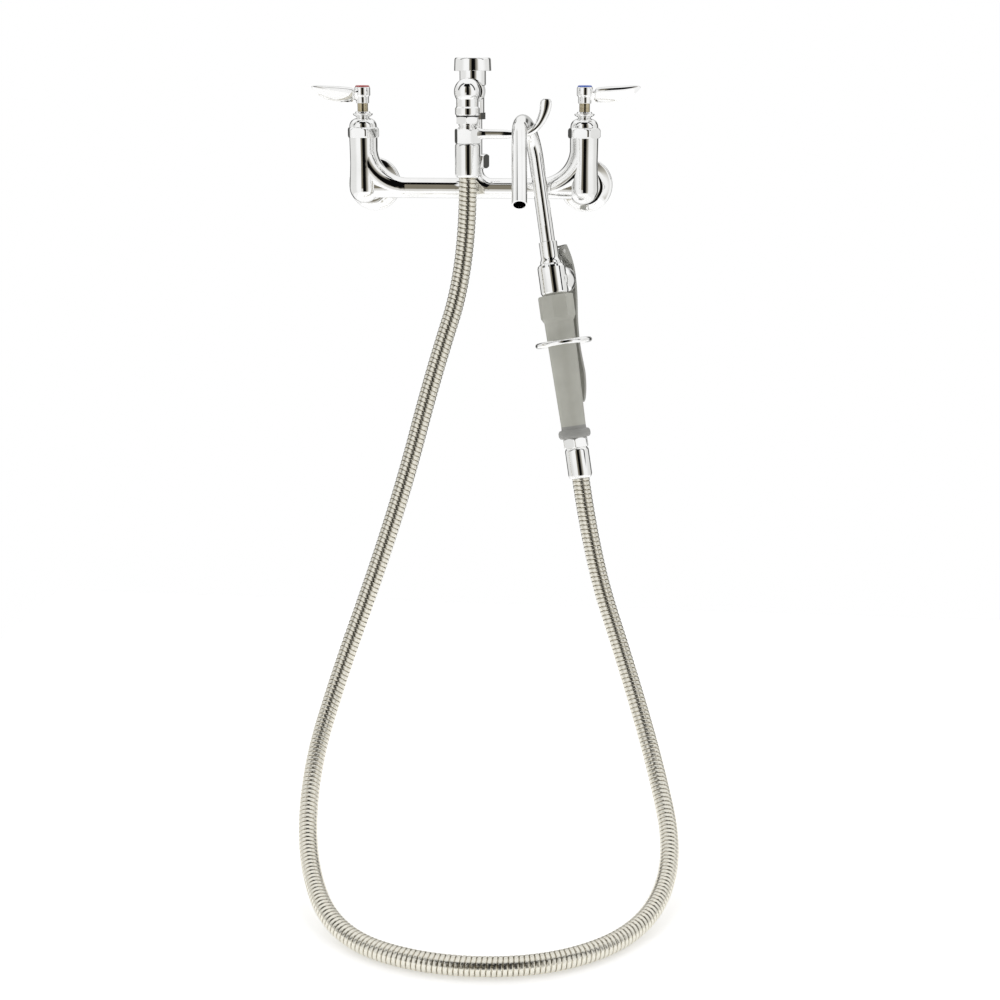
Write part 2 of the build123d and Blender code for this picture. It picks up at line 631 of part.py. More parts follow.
with BuildPart() as breaker_body:
    with BuildSketch(Plane.XY.offset(BREAKER_HEX_BOTTOM)):
        with Locations((0, AXIS_Y)):
            RegularPolygon(BREAKER_HEX_AF / 2, 6, major_radius=False, rotation=15)
    extrude(amount=BREAKER_HEX_TOP - BREAKER_HEX_BOTTOM)
    with BuildSketch(riser_plane):
        ring_profile([
            (0, BREAKER_HEX_TOP), (BREAKER_R, BREAKER_HEX_TOP),
            (BREAKER_R, BREAKER_NECK_BOTTOM - 1.2), (BREAKER_NECK_R, BREAKER_NECK_BOTTOM + 0.6),
            (BREAKER_NECK_R, BREAKER_NECK_TOP), (0, BREAKER_NECK_TOP),
        ])
    revolve(axis=riser_axis)
    with BuildSketch(Plane.XZ.offset(WALL_TO_AXIS)):
        with Locations((0, OUTLET_Z)):
            Circle(OUTLET_SOCKET_R)
    extrude(amount=OUTLET_SOCKET_END)
    with BuildSketch(riser_plane):
        ring_profile([
            (0, BREAKER_HEX_BOTTOM), (RISER_R + THREAD_GAP, BREAKER_HEX_BOTTOM),
            (RISER_R + THREAD_GAP, RISER_TOP), (RISER_BORE_R, RISER_TOP),
            (RISER_BORE_R, SPIDER_BOTTOM), (0, SPIDER_BOTTOM),
        ])
    revolve(axis=riser_axis, mode=Mode.SUBTRACT)
    with BuildSketch(Plane.XY.offset(SPIDER_TOP)):
        with Locations((0, AXIS_Y)):
            Circle(FLOAT_CHAMBER_R)
    extrude(amount=BREAKER_NECK_TOP - SPIDER_TOP, mode=Mode.SUBTRACT)
    with BuildSketch(Plane.XY.offset(SPIDER_BOTTOM)):
        with Locations((0, AXIS_Y)):
            Circle(FLOAT_STEM_R + RUNNING_FIT)
            with PolarLocations(4.5, 4, start_angle=45):
                Circle(1.6)
    extrude(amount=SPIDER_TOP - SPIDER_BOTTOM, mode=Mode.SUBTRACT)
    with BuildSketch(Plane.XZ.offset(WALL_TO_AXIS + 12.5)):
        with Locations((0, OUTLET_Z)):
            Circle(ELBOW_LEG_R + THREAD_GAP)
    extrude(amount=OUTLET_SOCKET_END - 12.5, mode=Mode.SUBTRACT)
    with BuildSketch(Plane.XZ.offset(WALL_TO_AXIS + 4.0)):
        with Locations((0, OUTLET_Z - 4.5)):
            Circle(3.6)
    extrude(amount=8.6, mode=Mode.SUBTRACT)
    with BuildSketch(Plane.YZ.offset(-BREAKER_NECK_R - 1)):
        with Locations((AXIS_Y, CAP_BOTTOM + 1.3)):
            Circle(1.1)
    extrude(amount=2 * BREAKER_NECK_R + 2, mode=Mode.SUBTRACT)
    with BuildSketch(Plane.XZ.offset(WALL_TO_AXIS - BREAKER_NECK_R - 1)):
        with Locations((0, CAP_BOTTOM + 1.3)):
            Circle(1.1)
    extrude(amount=2 * BREAKER_NECK_R + 2, mode=Mode.SUBTRACT)
keep(breaker_body, "breaker_body")

float_bottom = SPIDER_TOP + BODY_GAP
with BuildPart() as breaker_float:
    with BuildSketch(riser_plane):
        ring_profile([
            (0, SPIDER_BOTTOM - 5), (FLOAT_STEM_R, SPIDER_BOTTOM - 5),
            (FLOAT_STEM_R, float_bottom), (FLOAT_R, float_bottom),
            (FLOAT_R, float_bottom + FLOAT_THICK), (0, float_bottom + FLOAT_THICK),
        ])
    revolve(axis=riser_axis)
keep(breaker_float, "breaker_float")

with BuildPart() as float_seal:
    with BuildSketch(Plane.XY.offset(float_bottom + FLOAT_THICK)):
        with Locations((0, AXIS_Y)):
            Circle(FLOAT_R - 0.4)
            Circle(2.5, mode=Mode.SUBTRACT)
    extrude(amount=1.9)
keep(float_seal, "float_seal")

with BuildPart() as air_seat:
    with BuildSketch(riser_plane):
        ring_profile([
            (5.0, AIR_SEAT_BOTTOM), (FLOAT_CHAMBER_R - RUNNING_FIT, AIR_SEAT_BOTTOM),
            (FLOAT_CHAMBER_R - RUNNING_FIT, AIR_SEAT_TOP), (5.0, AIR_SEAT_TOP),
        ])
    revolve(axis=riser_axis)
keep(air_seat, "air_seat")

with BuildPart() as breaker_cap:
    with BuildSketch(riser_plane):
        ring_profile([
            (BREAKER_NECK_R + 2.6, CAP_BOTTOM), (CAP_R_BOTTOM, CAP_BOTTOM),
            (CAP_R_TOP, CAP_TOP - 1.6), (CAP_R_TOP - 1.6, CAP_TOP), (0, CAP_TOP),
            (0, BREAKER_NECK_TOP + THREAD_GAP),
            (BREAKER_NECK_R + RUNNING_FIT, BREAKER_NECK_TOP + THREAD_GAP),
            (BREAKER_NECK_R + RUNNING_FIT, CAP_BOTTOM + 2.8),
            (BREAKER_NECK_R + 2.6, CAP_BOTTOM + 2.8),
        ])
    revolve(axis=riser_axis)
keep(breaker_cap, "breaker_cap")

# --------------------------------------------------------------- outlet column
column_axis = Axis((0, COLUMN_Y, 0), (0, 0, 1))
column_plane = upright(0, COLUMN_Y)

with BuildPart() as outlet_elbow:
    with BuildSketch(Plane.XZ.offset(WALL_TO_AXIS + 12.6)):
        with Locations((0, OUTLET_Z)):
            Circle(ELBOW_LEG_R)
    extrude(amount=FRONT_REACH - 12.6)
    with Locations((0, COLUMN_Y, OUTLET_Z)):
        Sphere(ELBOW_BALL_R)
    with BuildSketch(column_plane):
        ring_profile([
            (0, ELBOW_BOTTOM), (ELBOW_BEAD_R - 1.2, ELBOW_BOTTOM),
            (ELBOW_BEAD_R, ELBOW_BOTTOM + 1.2), (ELBOW_BEAD_R, ELBOW_LEG_BOTTOM - 1.4),
            (ELBOW_LEG_R + 0.15, ELBOW_LEG_BOTTOM), (ELBOW_LEG_R + 0.15, OUTLET_Z),
            (0, OUTLET_Z),
        ])
    revolve(axis=column_axis)
    with BuildSketch(Plane.XZ.offset(WALL_TO_AXIS + 12.6)):
        with Locations((0, OUTLET_Z)):
            Circle(RISER_BORE_R)
    extrude(amount=FRONT_REACH - 12.6, mode=Mode.SUBTRACT)
    with Locations((0, COLUMN_Y, OUTLET_Z)):
        Sphere(RISER_BORE_R, mode=Mode.SUBTRACT)
    with BuildSketch(Plane.XY.offset(ELBOW_BOTTOM)):
        with Locations((0, COLUMN_Y)):
            Circle(RISER_BORE_R)
    extrude(amount=OUTLET_Z - ELBOW_BOTTOM, mode=Mode.SUBTRACT)
    with BuildSketch(Plane.XY.offset(ELBOW_BOTTOM)):
        with Locations((0, COLUMN_Y)):
            Circle(ADAPTER_PLUG_R + THREAD_GAP)
    extrude(amount=ADAPTER_PLUG_TOP + 0.2 - ELBOW_BOTTOM, mode=Mode.SUBTRACT)
keep(outlet_elbow, "outlet_elbow")

with BuildPart() as outlet_adapter:
    with BuildSketch(Plane.XY.offset(ADAPTER_HEX_BOTTOM)):
        with Locations((0, COLUMN_Y)):
            RegularPolygon(ADAPTER_HEX_AF / 2, 6, major_radius=False, rotation=10)
    extrude(amount=ADAPTER_HEX_TOP - ADAPTER_HEX_BOTTOM)
    with BuildSketch(column_plane):
        ring_profile([
            (0, ADAPTER_BOTTOM), (ADAPTER_TAIL_R, ADAPTER_BOTTOM),
            (ADAPTER_TAIL_R, HUB_PLATE_TOP), (ADAPTER_NECK_R, HUB_PLATE_TOP),
            (ADAPTER_NECK_R, ADAPTER_HEX_BOTTOM - 3.1),
            (ADAPTER_NECK_R - ADAPTER_GROOVE, ADAPTER_HEX_BOTTOM - 2.7),
            (ADAPTER_NECK_R - ADAPTER_GROOVE, ADAPTER_HEX_BOTTOM - 2.1),
            (ADAPTER_NECK_R, ADAPTER_HEX_BOTTOM - 1.7), (ADAPTER_NECK_R, ADAPTER_HEX_TOP),
            (ADAPTER_PLUG_R, ADAPTER_HEX_TOP), (ADAPTER_PLUG_R, ADAPTER_PLUG_TOP),
            (0, ADAPTER_PLUG_TOP),
        ])
    revolve(axis=column_axis)
    with BuildSketch(Plane.XY.offset(ADAPTER_BOTTOM)):
        with Locations((0, COLUMN_Y)):
            Circle(ADAPTER_BORE_R)
    extrude(amount=ADAPTER_PLUG_TOP - ADAPTER_BOTTOM, mode=Mode.SUBTRACT)
keep(outlet_adapter, "outlet_adapter")

with BuildPart() as adapter_seal:
    with BuildSketch(Plane.XY.offset(ADAPTER_HEX_TOP)):
        with Locations((0, COLUMN_Y)):
            Circle(ADAPTER_SEAL_R)
            Circle(ADAPTER_PLUG_R + THREAD_GAP, mode=Mode.SUBTRACT)
    extrude(amount=ELBOW_BOTTOM - ADAPTER_HEX_TOP)
keep(adapter_seal, "adapter_seal")

with BuildPart() as nozzle_hook:
    with BuildSketch(Plane.XY.offset(HUB_PLATE_BOTTOM)):
        with Locations((0, COLUMN_Y)):
            RegularPolygon(HUB_PLATE_AF / 2, 6, major_radius=False, rotation=0)
    extrude(amount=HUB_PLATE_TOP - HUB_PLATE_BOTTOM)
    with BuildSketch(column_plane):
        ring_profile([
            (0, HUB_PLATE_BOTTOM), (HUB_PLATE_AF / 2, HUB_PLATE_BOTTOM),
            (HUB_PLATE_AF / 2 + 1.5, HUB_PLATE_BOTTOM + 1.2),
            (HUB_PLATE_AF / 2 + 1.5, HUB_PLATE_TOP - 1.2),
            (HUB_PLATE_AF / 2, HUB_PLATE_TOP), (0, HUB_PLATE_TOP),
        ])
    revolve(axis=column_axis, mode=Mode.INTERSECT)
    with BuildSketch(Plane.YZ.offset(9.0)):
        with Locations((COLUMN_Y, ARM_Z)):
            Circle(ARM_R + 1.2)
    extrude(amount=5.0, taper=13)
    with BuildSketch(Plane.YZ.offset(9.0)):
        with Locations((COLUMN_Y, ARM_Z)):
            Circle(ARM_R)
    extrude(amount=HORN_BEND_X - 9.0)
    with BuildSketch(Plane.YZ.offset(HORN_BEND_X)):
        with Locations((COLUMN_Y, ARM_Z)):
            Circle(ARM_R)
    revolve(axis=Axis((HORN_BEND_X, COLUMN_Y, ARM_Z + HORN_BEND_R), (0, -1, 0)),
            revolution_arc=90)
    horn_x = HORN_BEND_X + HORN_BEND_R
    with BuildSketch(Plane.XY.offset(ARM_Z + HORN_BEND_R)):
        with Locations((horn_x, COLUMN_Y)):
            Circle(ARM_R)
    extrude(amount=HORN_TIP_Z - ARM_R - ARM_Z - HORN_BEND_R)
    with Locations((horn_x, COLUMN_Y, HORN_TIP_Z - ARM_R)):
        Sphere(ARM_R)
    with BuildSketch(Plane.XY.offset(HUB_PLATE_BOTTOM)):
        with Locations((0, COLUMN_Y)):
            Circle(ADAPTER_TAIL_R + THREAD_GAP)
    extrude(amount=HUB_PLATE_TOP - HUB_PLATE_BOTTOM, mode=Mode.SUBTRACT)
keep(nozzle_hook, "nozzle_hook")

with BuildPart() as hose_washer:
    with BuildSketch(Plane.XY.offset(HOSE_WASHER_BOTTOM)):
        with Locations((0, COLUMN_Y)):
            Circle(HOSE_WASHER_R)
            Circle(ADAPTER_TAIL_R + THREAD_GAP, mode=Mode.SUBTRACT)
    extrude(amount=HUB_PLATE_BOTTOM - HOSE_WASHER_BOTTOM)
keep(hose_washer, "hose_washer")

with BuildPart() as upper_ferrule:
    with BuildSketch(column_plane):
        ring_profile([
            (FERRULE_BORE_R, FERRULE_BOTTOM), (FERRULE_R - 1.6, FERRULE_BOTTOM),
            (FERRULE_R, FERRULE_BOTTOM + 3.0), (FERRULE_R, FERRULE_LIP_TOP - 2.2),
            (FERRULE_R - 1.4, FERRULE_LIP_TOP), (HOSE_WASHER_R + THREAD_GAP, FERRULE_LIP_TOP),
            (HOSE_WASHER_R + THREAD_GAP, HOSE_WASHER_BOTTOM), (ADAPTER_TAIL_R, HOSE_WASHER_BOTTOM),
            (ADAPTER_TAIL_R, ADAPTER_BOTTOM), (FERRULE_BORE_R, ADAPTER_BOTTOM),
        ])
    revolve(axis=column_axis)
keep(upper_ferrule, "upper_ferrule")

# ------------------------------------------------------------------------- hose
corners = [Vector(*point) for point in HOSE_ROUTE]
bend_radii = []
for before, corner, after in zip(corners, corners[1:], corners[2:]):
    run_in = corner - before
    run_out = after - corner
    half_turn = math.radians(run_in.get_angle(run_out)) / 2
    shorter = min(run_in.length, run_out.length)
    bend_radii.append(HOSE_RADIUS_SHARE * shorter / math.tan(half_turn))
print("hose bend radii", [round(r, 1) for r in bend_radii])

with BuildLine() as hose_path:
    FilletPolyline(*corners, radius=bend_radii)
hose_length = sum(edge.length for edge in hose_path.line.edges())
with BuildPart() as hose:
    with BuildSketch(Plane(origin=corners[0], x_dir=(1, 0, 0), z_dir=(0, 0, -1))):
        Circle(HOSE_R)
        Circle(FERRULE_BORE_R, mode=Mode.SUBTRACT)
    sweep(path=hose_path.line)
keep(hose, "hose")
hose_section = math.pi * (HOSE_R ** 2 - FERRULE_BORE_R ** 2)
print("hose length", round(hose_length, 1))
print("hose volume over section times length",
      round(hose.part.volume / (hose_section * hose_length), 5))

# ------------------------------------------------------------------ spray valve
top = Vector(*HANDLE_TOP)
down = Vector(*HANDLE_DOWN).normalized()
turn = math.radians(LEVER_SIDE_TURN)
side_way = Vector(math.sin(turn), math.cos(turn), 0)
side_way = (side_way - down * side_way.dot(down)).normalized()
front_way = Vector(*NOZZLE_SIDE)
front_way = (front_way - down * front_way.dot(down)).normalized()
across = side_way.cross(down)
handle_axis = Axis(top, down)
section = Plane(origin=top, x_dir=side_way, z_dir=across)
stem_origin = top + down * STEM_S
stem_section = Plane(origin=stem_origin, x_dir=side_way, z_dir=across)
poppet_axis = Axis(stem_origin, side_way)


def station(distance):
    """Plane square to the handle, with its normal pointing down the handle."""
    return Plane(origin=top + down * distance, x_dir=side_way, z_dir=down)


def beside(offset):
    """Section plane of the handle moved sideways."""
    return Plane(origin=top + across * offset, x_dir=side_way, z_dir=across)


bend_axis = Axis(top + front_way * NOZZLE_BEND_R, front_way.cross(down))
bend_end = math.radians(NOZZLE_BEND_DEG)
leg_start = (top + front_way * (NOZZLE_BEND_R * (1 - math.cos(bend_end)))
             - down * (NOZZLE_BEND_R * math.sin(bend_end)))
leg_way = front_way * math.sin(bend_end) - down * math.cos(bend_end)
print("nozzle mouth", leg_start + leg_way * NOZZLE_LEG)

with BuildPart() as hook_nozzle:
    with BuildSketch(station(0)):
        Circle(NOZZLE_TUBE_R)
        Circle(NOZZLE_BORE_R, mode=Mode.SUBTRACT)
    extrude(amount=NOZZLE_TUBE_END_S)
    with BuildSketch(station(0)):
        Circle(NOZZLE_TUBE_R)
        Circle(NOZZLE_BORE_R, mode=Mode.SUBTRACT)
    revolve(axis=bend_axis, revolution_arc=NOZZLE_BEND_DEG)
    with BuildSketch(Plane(origin=leg_start, x_dir=side_way, z_dir=leg_way)):
        Circle(NOZZLE_TUBE_R)
        Circle(NOZZLE_BORE_R, mode=Mode.SUBTRACT)
    extrude(amount=NOZZLE_LEG)
keep(hook_nozzle, "hook_nozzle")

with BuildPart() as nozzle_coupling:
    with BuildSketch(section):
        ring_profile([
            (NOZZLE_TUBE_R, COUPLING_TOP_S), (COUPLING_R - 0.6, COUPLING_TOP_S),
            (COUPLING_R, COUPLING_TOP_S + 1), (COUPLING_R, COUPLING_SHOULDER_S),
            (COUPLING_R + 1, VALVE_TOP_S - 1), (COUPLING_R + 1, VALVE_TOP_S),
            (COUPLING_TAIL_R, VALVE_TOP_S), (COUPLING_TAIL_R, COUPLING_TAIL_END_S),
            (NOZZLE_BORE_R - 0.6, COUPLING_TAIL_END_S), (NOZZLE_BORE_R - 0.6, NOZZLE_TUBE_END_S),
            (NOZZLE_TUBE_R, NOZZLE_TUBE_END_S),
        ])
    revolve(axis=handle_axis)
keep(nozzle_coupling, "nozzle_coupling")

with BuildPart() as valve_body:
    with BuildSketch(section):
        ring_profile([
            (0, VALVE_TOP_S), (VALVE_R - 2.4, VALVE_TOP_S), (VALVE_R - 0.6, VALVE_TOP_S + 1.6),
            (VALVE_R, VALVE_TOP_S + 3.6), (VALVE_R, VALVE_BOTTOM_S - 3.0),
            (VALVE_R - 0.8, VALVE_BOTTOM_S - 0.8), (VALVE_R - 2.0, VALVE_BOTTOM_S),
            (0, VALVE_BOTTOM_S),
        ])
    revolve(axis=handle_axis)
    with BuildSketch(stem_section):
        ring_profile([
            (0, 0), (0, BOSS_OUTER_R), (BOSS_REACH - 1, BOSS_OUTER_R),
            (BOSS_REACH, BOSS_OUTER_R - 1), (BOSS_REACH, 0),
        ])
    revolve(axis=poppet_axis)
    with BuildSketch(beside(-LUG_HALF_WIDTH)):
        ring_profile([
            (9.6, 95.6), (11.4, PIVOT_S + 1), (12.2, PIVOT_S - 2.4), (14.0, PIVOT_S - 3.6),
            (16.6, PIVOT_S - 3.2), (18.3, PIVOT_S - 0.6), (17.6, PIVOT_S + 3), (13.2, 100.0),
            (9.6, 100.0),
        ])
    extrude(amount=2 * LUG_HALF_WIDTH)
    with BuildSketch(beside(-LUG_HALF_WIDTH)):
        with Locations((PIVOT_REACH, PIVOT_S)):
            Circle(PIVOT_R)
    extrude(amount=2 * LUG_HALF_WIDTH, mode=Mode.SUBTRACT)
    with BuildSketch(section):
        ring_profile([
            (0, VALVE_TOP_S), (COUPLING_TAIL_R, VALVE_TOP_S),
            (COUPLING_TAIL_R, COUPLING_TAIL_END_S), (0, COUPLING_TAIL_END_S),
        ])
    revolve(axis=handle_axis, mode=Mode.SUBTRACT)
    with BuildSketch(section):
        ring_profile([
            (0, GRIP_TUBE_TOP_S), (GRIP_TUBE_R, GRIP_TUBE_TOP_S),
            (GRIP_TUBE_R, VALVE_BOTTOM_S), (0, VALVE_BOTTOM_S),
        ])
    revolve(axis=handle_axis, mode=Mode.SUBTRACT)
    with BuildSketch(stem_section):
        ring_profile([
            (CHAMBER_BACK, 0), (CHAMBER_BACK, CHAMBER_R), (SEAT_BACK, CHAMBER_R),
            (SEAT_BACK, SEAT_R), (BOSS_REACH, SEAT_R), (BOSS_REACH, 0),
        ])
    revolve(axis=poppet_axis, mode=Mode.SUBTRACT)
    with BuildSketch(station(COUPLING_TAIL_END_S)):
        with Locations((3.4, 0)):
            Circle(2.2)
    extrude(amount=5, mode=Mode.SUBTRACT)
    with BuildSketch(station(STEM_S + 3)):
        with Locations((-4.8, 0)):
            Circle(2.4)
    extrude(amount=GRIP_TUBE_TOP_S - STEM_S - 3, mode=Mode.SUBTRACT)
keep(valve_body, "valve_body")

with BuildPart() as poppet_seat:
    with BuildSketch(stem_section):
        ring_profile([
            (SEAT_BACK, SEAT_HOLE_R), (SEAT_BACK, SEAT_R), (SEAT_FRONT, SEAT_R),
            (SEAT_FRONT, SEAT_HOLE_R),
        ])
    revolve(axis=poppet_axis)
keep(poppet_seat, "poppet_seat")

with BuildPart() as stem_bonnet:
    with BuildSketch(stem_section):
        ring_profile([
            (STEM_BONNET_START, POPPET_STEM_R + 2.2), (STEM_BONNET_START, SEAT_R),
            (BOSS_REACH, SEAT_R), (BOSS_REACH, STEM_BONNET_R),
            (STEM_BONNET_END - 2.4, STEM_BONNET_R), (STEM_BONNET_END, STEM_BONNET_R - 2.6),
            (STEM_BONNET_END, POPPET_STEM_R + RUNNING_FIT),
            (STEM_BONNET_START + 2.2, POPPET_STEM_R + RUNNING_FIT),
            (STEM_BONNET_START + 2.2, POPPET_STEM_R + 2.2),
        ])
    revolve(axis=poppet_axis)
keep(stem_bonnet, "stem_bonnet")

with BuildPart() as stem_seal:
    with BuildSketch(stem_section):
        ring_profile([
            (STEM_BONNET_START, POPPET_STEM_R + RUNNING_FIT),
            (STEM_BONNET_START, POPPET_STEM_R + 2.2),
            (STEM_BONNET_START + 2.2, POPPET_STEM_R + 2.2),
            (STEM_BONNET_START + 2.2, POPPET_STEM_R + RUNNING_FIT),
        ])
    revolve(axis=poppet_axis)
keep(stem_seal, "stem_seal")

with BuildPart() as poppet:
    with BuildSketch(stem_section):
        ring_profile([
            (POPPET_BACK, 0), (POPPET_BACK, POPPET_DISC_R), (POPPET_FACE, POPPET_DISC_R),
            (POPPET_FACE, POPPET_STEM_R), (POPPET_COLLAR_START, POPPET_STEM_R),
            (POPPET_COLLAR_START, POPPET_STEM_R + 2), (POPPET_COLLAR_END, POPPET_STEM_R + 2),
            (POPPET_COLLAR_END, POPPET_STEM_R), (POPPET_REACH - 1, POPPET_STEM_R),
            (POPPET_REACH, POPPET_STEM_R - 1), (POPPET_REACH, 0),
        ])
    revolve(axis=poppet_axis)
keep(poppet, "poppet")

with BuildPart() as poppet_seal:
    with BuildSketch(stem_section):
        ring_profile([
            (POPPET_FACE, POPPET_STEM_R), (POPPET_FACE, POPPET_DISC_R),
            (SEAT_BACK - BODY_GAP, POPPET_DISC_R), (SEAT_BACK - BODY_GAP, POPPET_STEM_R),
        ])
    revolve(axis=poppet_axis)
keep(poppet_seal, "poppet_seal")

spring_plane = Plane(origin=stem_origin + side_way * SPRING_START, x_dir=down, z_dir=side_way)
spring_pitch = (SPRING_END - SPRING_START) / SPRING_TURNS
coil = spring_plane.from_local_coords(
    Helix(pitch=spring_pitch, height=SPRING_END - SPRING_START, radius=SPRING_R))
with BuildPart() as poppet_spring:
    with BuildSketch(Plane(origin=coil @ 0, z_dir=coil % 0)):
        Circle(SPRING_WIRE_R)
    sweep(path=coil, is_frenet=True)
keep(poppet_spring, "poppet_spring")

with BuildPart() as handle_tube:
    with BuildSketch(station(GRIP_TUBE_TOP_S)):
        Circle(GRIP_TUBE_R)
        Circle(GRIP_TUBE_BORE_R, mode=Mode.SUBTRACT)
    extrude(amount=SWIVEL_BOTTOM_S - 2.4 - GRIP_TUBE_TOP_S)
keep(handle_tube, "handle_tube")

with BuildPart() as grip:
    with BuildSketch(station(VALVE_BOTTOM_S)):
        RegularPolygon(COLLAR_AF / 2, 8, major_radius=False, rotation=22.5)
    extrude(amount=COLLAR_BOTTOM_S - VALVE_BOTTOM_S)
    with BuildSketch(section):
        ring_profile([
            (0, VALVE_BOTTOM_S), (COLLAR_AF / 2 - 0.6, VALVE_BOTTOM_S),
            (COLLAR_AF / 2 + 0.9, VALVE_BOTTOM_S + 1.4),
            (COLLAR_AF / 2 + 0.9, COLLAR_BOTTOM_S - 4),
            (SLEEVE_TOP_R + 0.3, COLLAR_BOTTOM_S), (0, COLLAR_BOTTOM_S),
        ])
    revolve(axis=handle_axis, mode=Mode.INTERSECT)
    with BuildSketch(section):
        ring_profile([
            (0, COLLAR_BOTTOM_S), (SLEEVE_TOP_R, COLLAR_BOTTOM_S),
            (SLEEVE_BOTTOM_R, SLEEVE_BOTTOM_S), (0, SLEEVE_BOTTOM_S),
        ])
    revolve(axis=handle_axis)
    with BuildSketch(station(VALVE_BOTTOM_S)):
        Circle(GRIP_TUBE_R)
    extrude(amount=SLEEVE_BOTTOM_S - VALVE_BOTTOM_S, mode=Mode.SUBTRACT)
keep(grip, "grip")

with BuildPart() as grip_bead:
    with BuildSketch(section):
        ring_profile([
            (GRIP_TUBE_R, SLEEVE_BOTTOM_S), (SLEEVE_BOTTOM_R, SLEEVE_BOTTOM_S),
            (SLEEVE_BOTTOM_R, BEAD_TOP_S), (BEAD_R - 2.4, BEAD_TOP_S),
            (BEAD_R - 0.7, BEAD_TOP_S + 1.3), (BEAD_R, BEAD_TOP_S + 3.2),
            (BEAD_R, BEAD_BOTTOM_S - 3.2), (BEAD_R - 0.7, BEAD_BOTTOM_S - 1.3),
            (BEAD_R - 2.4, BEAD_BOTTOM_S), (GRIP_TUBE_R, BEAD_BOTTOM_S),
        ])
    revolve(axis=handle_axis)
keep(grip_bead, "grip_bead")

with BuildPart() as swivel_nut:
    with BuildSketch(station(BEAD_BOTTOM_S)):
        RegularPolygon(SWIVEL_AF / 2, 6, major_radius=False)
    extrude(amount=SWIVEL_BOTTOM_S - BEAD_BOTTOM_S)
    with BuildSketch(section):
        ring_profile([
            (0, BEAD_BOTTOM_S), (SWIVEL_AF / 2 + 0.2, BEAD_BOTTOM_S),
            (SWIVEL_AF / 2 + 1.5, BEAD_BOTTOM_S + 1.3),
            (SWIVEL_AF / 2 + 1.5, SWIVEL_BOTTOM_S - 1.3),
            (SWIVEL_AF / 2 + 0.2, SWIVEL_BOTTOM_S), (0, SWIVEL_BOTTOM_S),
        ])
    revolve(axis=handle_axis, mode=Mode.INTERSECT)
    with BuildSketch(station(SWIVEL_BOTTOM_S)):
        Circle(ADAPTER_TAIL_R)
    extrude(amount=SWIVEL_TAIL_END_S - SWIVEL_BOTTOM_S)
    with BuildSketch(section):
        ring_profile([
            (0, BEAD_BOTTOM_S), (GRIP_TUBE_R, BEAD_BOTTOM_S),
            (GRIP_TUBE_R, SWIVEL_BOTTOM_S - 2.4), (GRIP_TUBE_BORE_R - 0.5, SWIVEL_BOTTOM_S - 2.4),
            (GRIP_TUBE_BORE_R - 0.5, SWIVEL_TAIL_END_S), (0, SWIVEL_TAIL_END_S),
        ])
    revolve(axis=handle_axis, mode=Mode.SUBTRACT)
keep(swivel_nut, "swivel_nut")

with BuildPart() as lower_ferrule:
    with BuildSketch(section):
        ring_profile([
            (ADAPTER_TAIL_R, SWIVEL_BOTTOM_S), (LOWER_FERRULE_R - 1.4, SWIVEL_BOTTOM_S),
            (LOWER_FERRULE_R, SWIVEL_BOTTOM_S + 2.2),
            (LOWER_FERRULE_R, LOWER_FERRULE_BOTTOM_S - 3.0),
            (LOWER_FERRULE_R - 1.6, LOWER_FERRULE_BOTTOM_S),
            (FERRULE_BORE_R, LOWER_FERRULE_BOTTOM_S), (FERRULE_BORE_R, SWIVEL_TAIL_END_S),
            (ADAPTER_TAIL_R, SWIVEL_TAIL_END_S),
        ])
    revolve(axis=handle_axis)
keep(lower_ferrule, "lower_ferrule")

# ------------------------------------------------- squeeze lever and its friends
with BuildPart() as lever_pin:
    with BuildSketch(beside(-PIVOT_HALF_LENGTH)):
        with Locations((PIVOT_REACH, PIVOT_S)):
            Circle(PIVOT_R)
    extrude(amount=2 * PIVOT_HALF_LENGTH)
keep(lever_pin, "lever_pin")

inner_edge = [(reach - SQUEEZE_THICK, along) for reach, along in reversed(SQUEEZE_OUTER)]
with BuildPart() as squeeze_lever:
    with BuildSketch(beside(-LEVER_HALF_WIDTH)):
        with BuildLine():
            Spline(*SQUEEZE_OUTER)
            Line(SQUEEZE_OUTER[-1], inner_edge[0])
            Spline(*inner_edge)
            Line(inner_edge[-1], SQUEEZE_OUTER[0])
        make_face()
    extrude(amount=2 * LEVER_HALF_WIDTH)
    with BuildSketch(beside(-LEVER_HALF_WIDTH)):
        ring_profile([
            (12.0, PIVOT_S - 0.6), (13.0, PIVOT_S - 3.4), (19.0, 78.4), (20.0, 78.6),
            (23.0, 86.0), (25.6, 96.0), (23.8, 96.0), (14.6, PIVOT_S + 3.6), (12.6, PIVOT_S + 2.2),
        ])
    extrude(amount=2 * LEVER_HALF_WIDTH)
    with BuildSketch(beside(-EAR_INNER)):
        ring_profile([
            (10.0, 74.0), (17.9, 74.0), (19.5, 80.0), (22.4, 92.0), (22.4, 99.0), (10.0, 99.0),
        ])
    extrude(amount=2 * EAR_INNER, mode=Mode.SUBTRACT)
    with BuildSketch(beside(-LEVER_HALF_WIDTH)):
        with Locations((PIVOT_REACH, PIVOT_S)):
            Circle(PIVOT_R + RUNNING_FIT)
    extrude(amount=2 * LEVER_HALF_WIDTH, mode=Mode.SUBTRACT)
    with BuildSketch(Plane(origin=top, x_dir=across, z_dir=across.cross(down))):
        ring_profile([
            (-LEVER_HALF_WIDTH, 76.0), (LEVER_HALF_WIDTH, 76.0), (LEVER_HALF_WIDTH, 195.0),
            (LEVER_HALF_WIDTH - 2.6, 221.0), (LEVER_HALF_WIDTH - 4.2, 224.0),
            (4.2 - LEVER_HALF_WIDTH, 224.0), (2.6 - LEVER_HALF_WIDTH, 221.0),
            (-LEVER_HALF_WIDTH, 195.0),
        ])
    extrude(amount=40, both=True, mode=Mode.INTERSECT)
keep(squeeze_lever, "squeeze_lever")

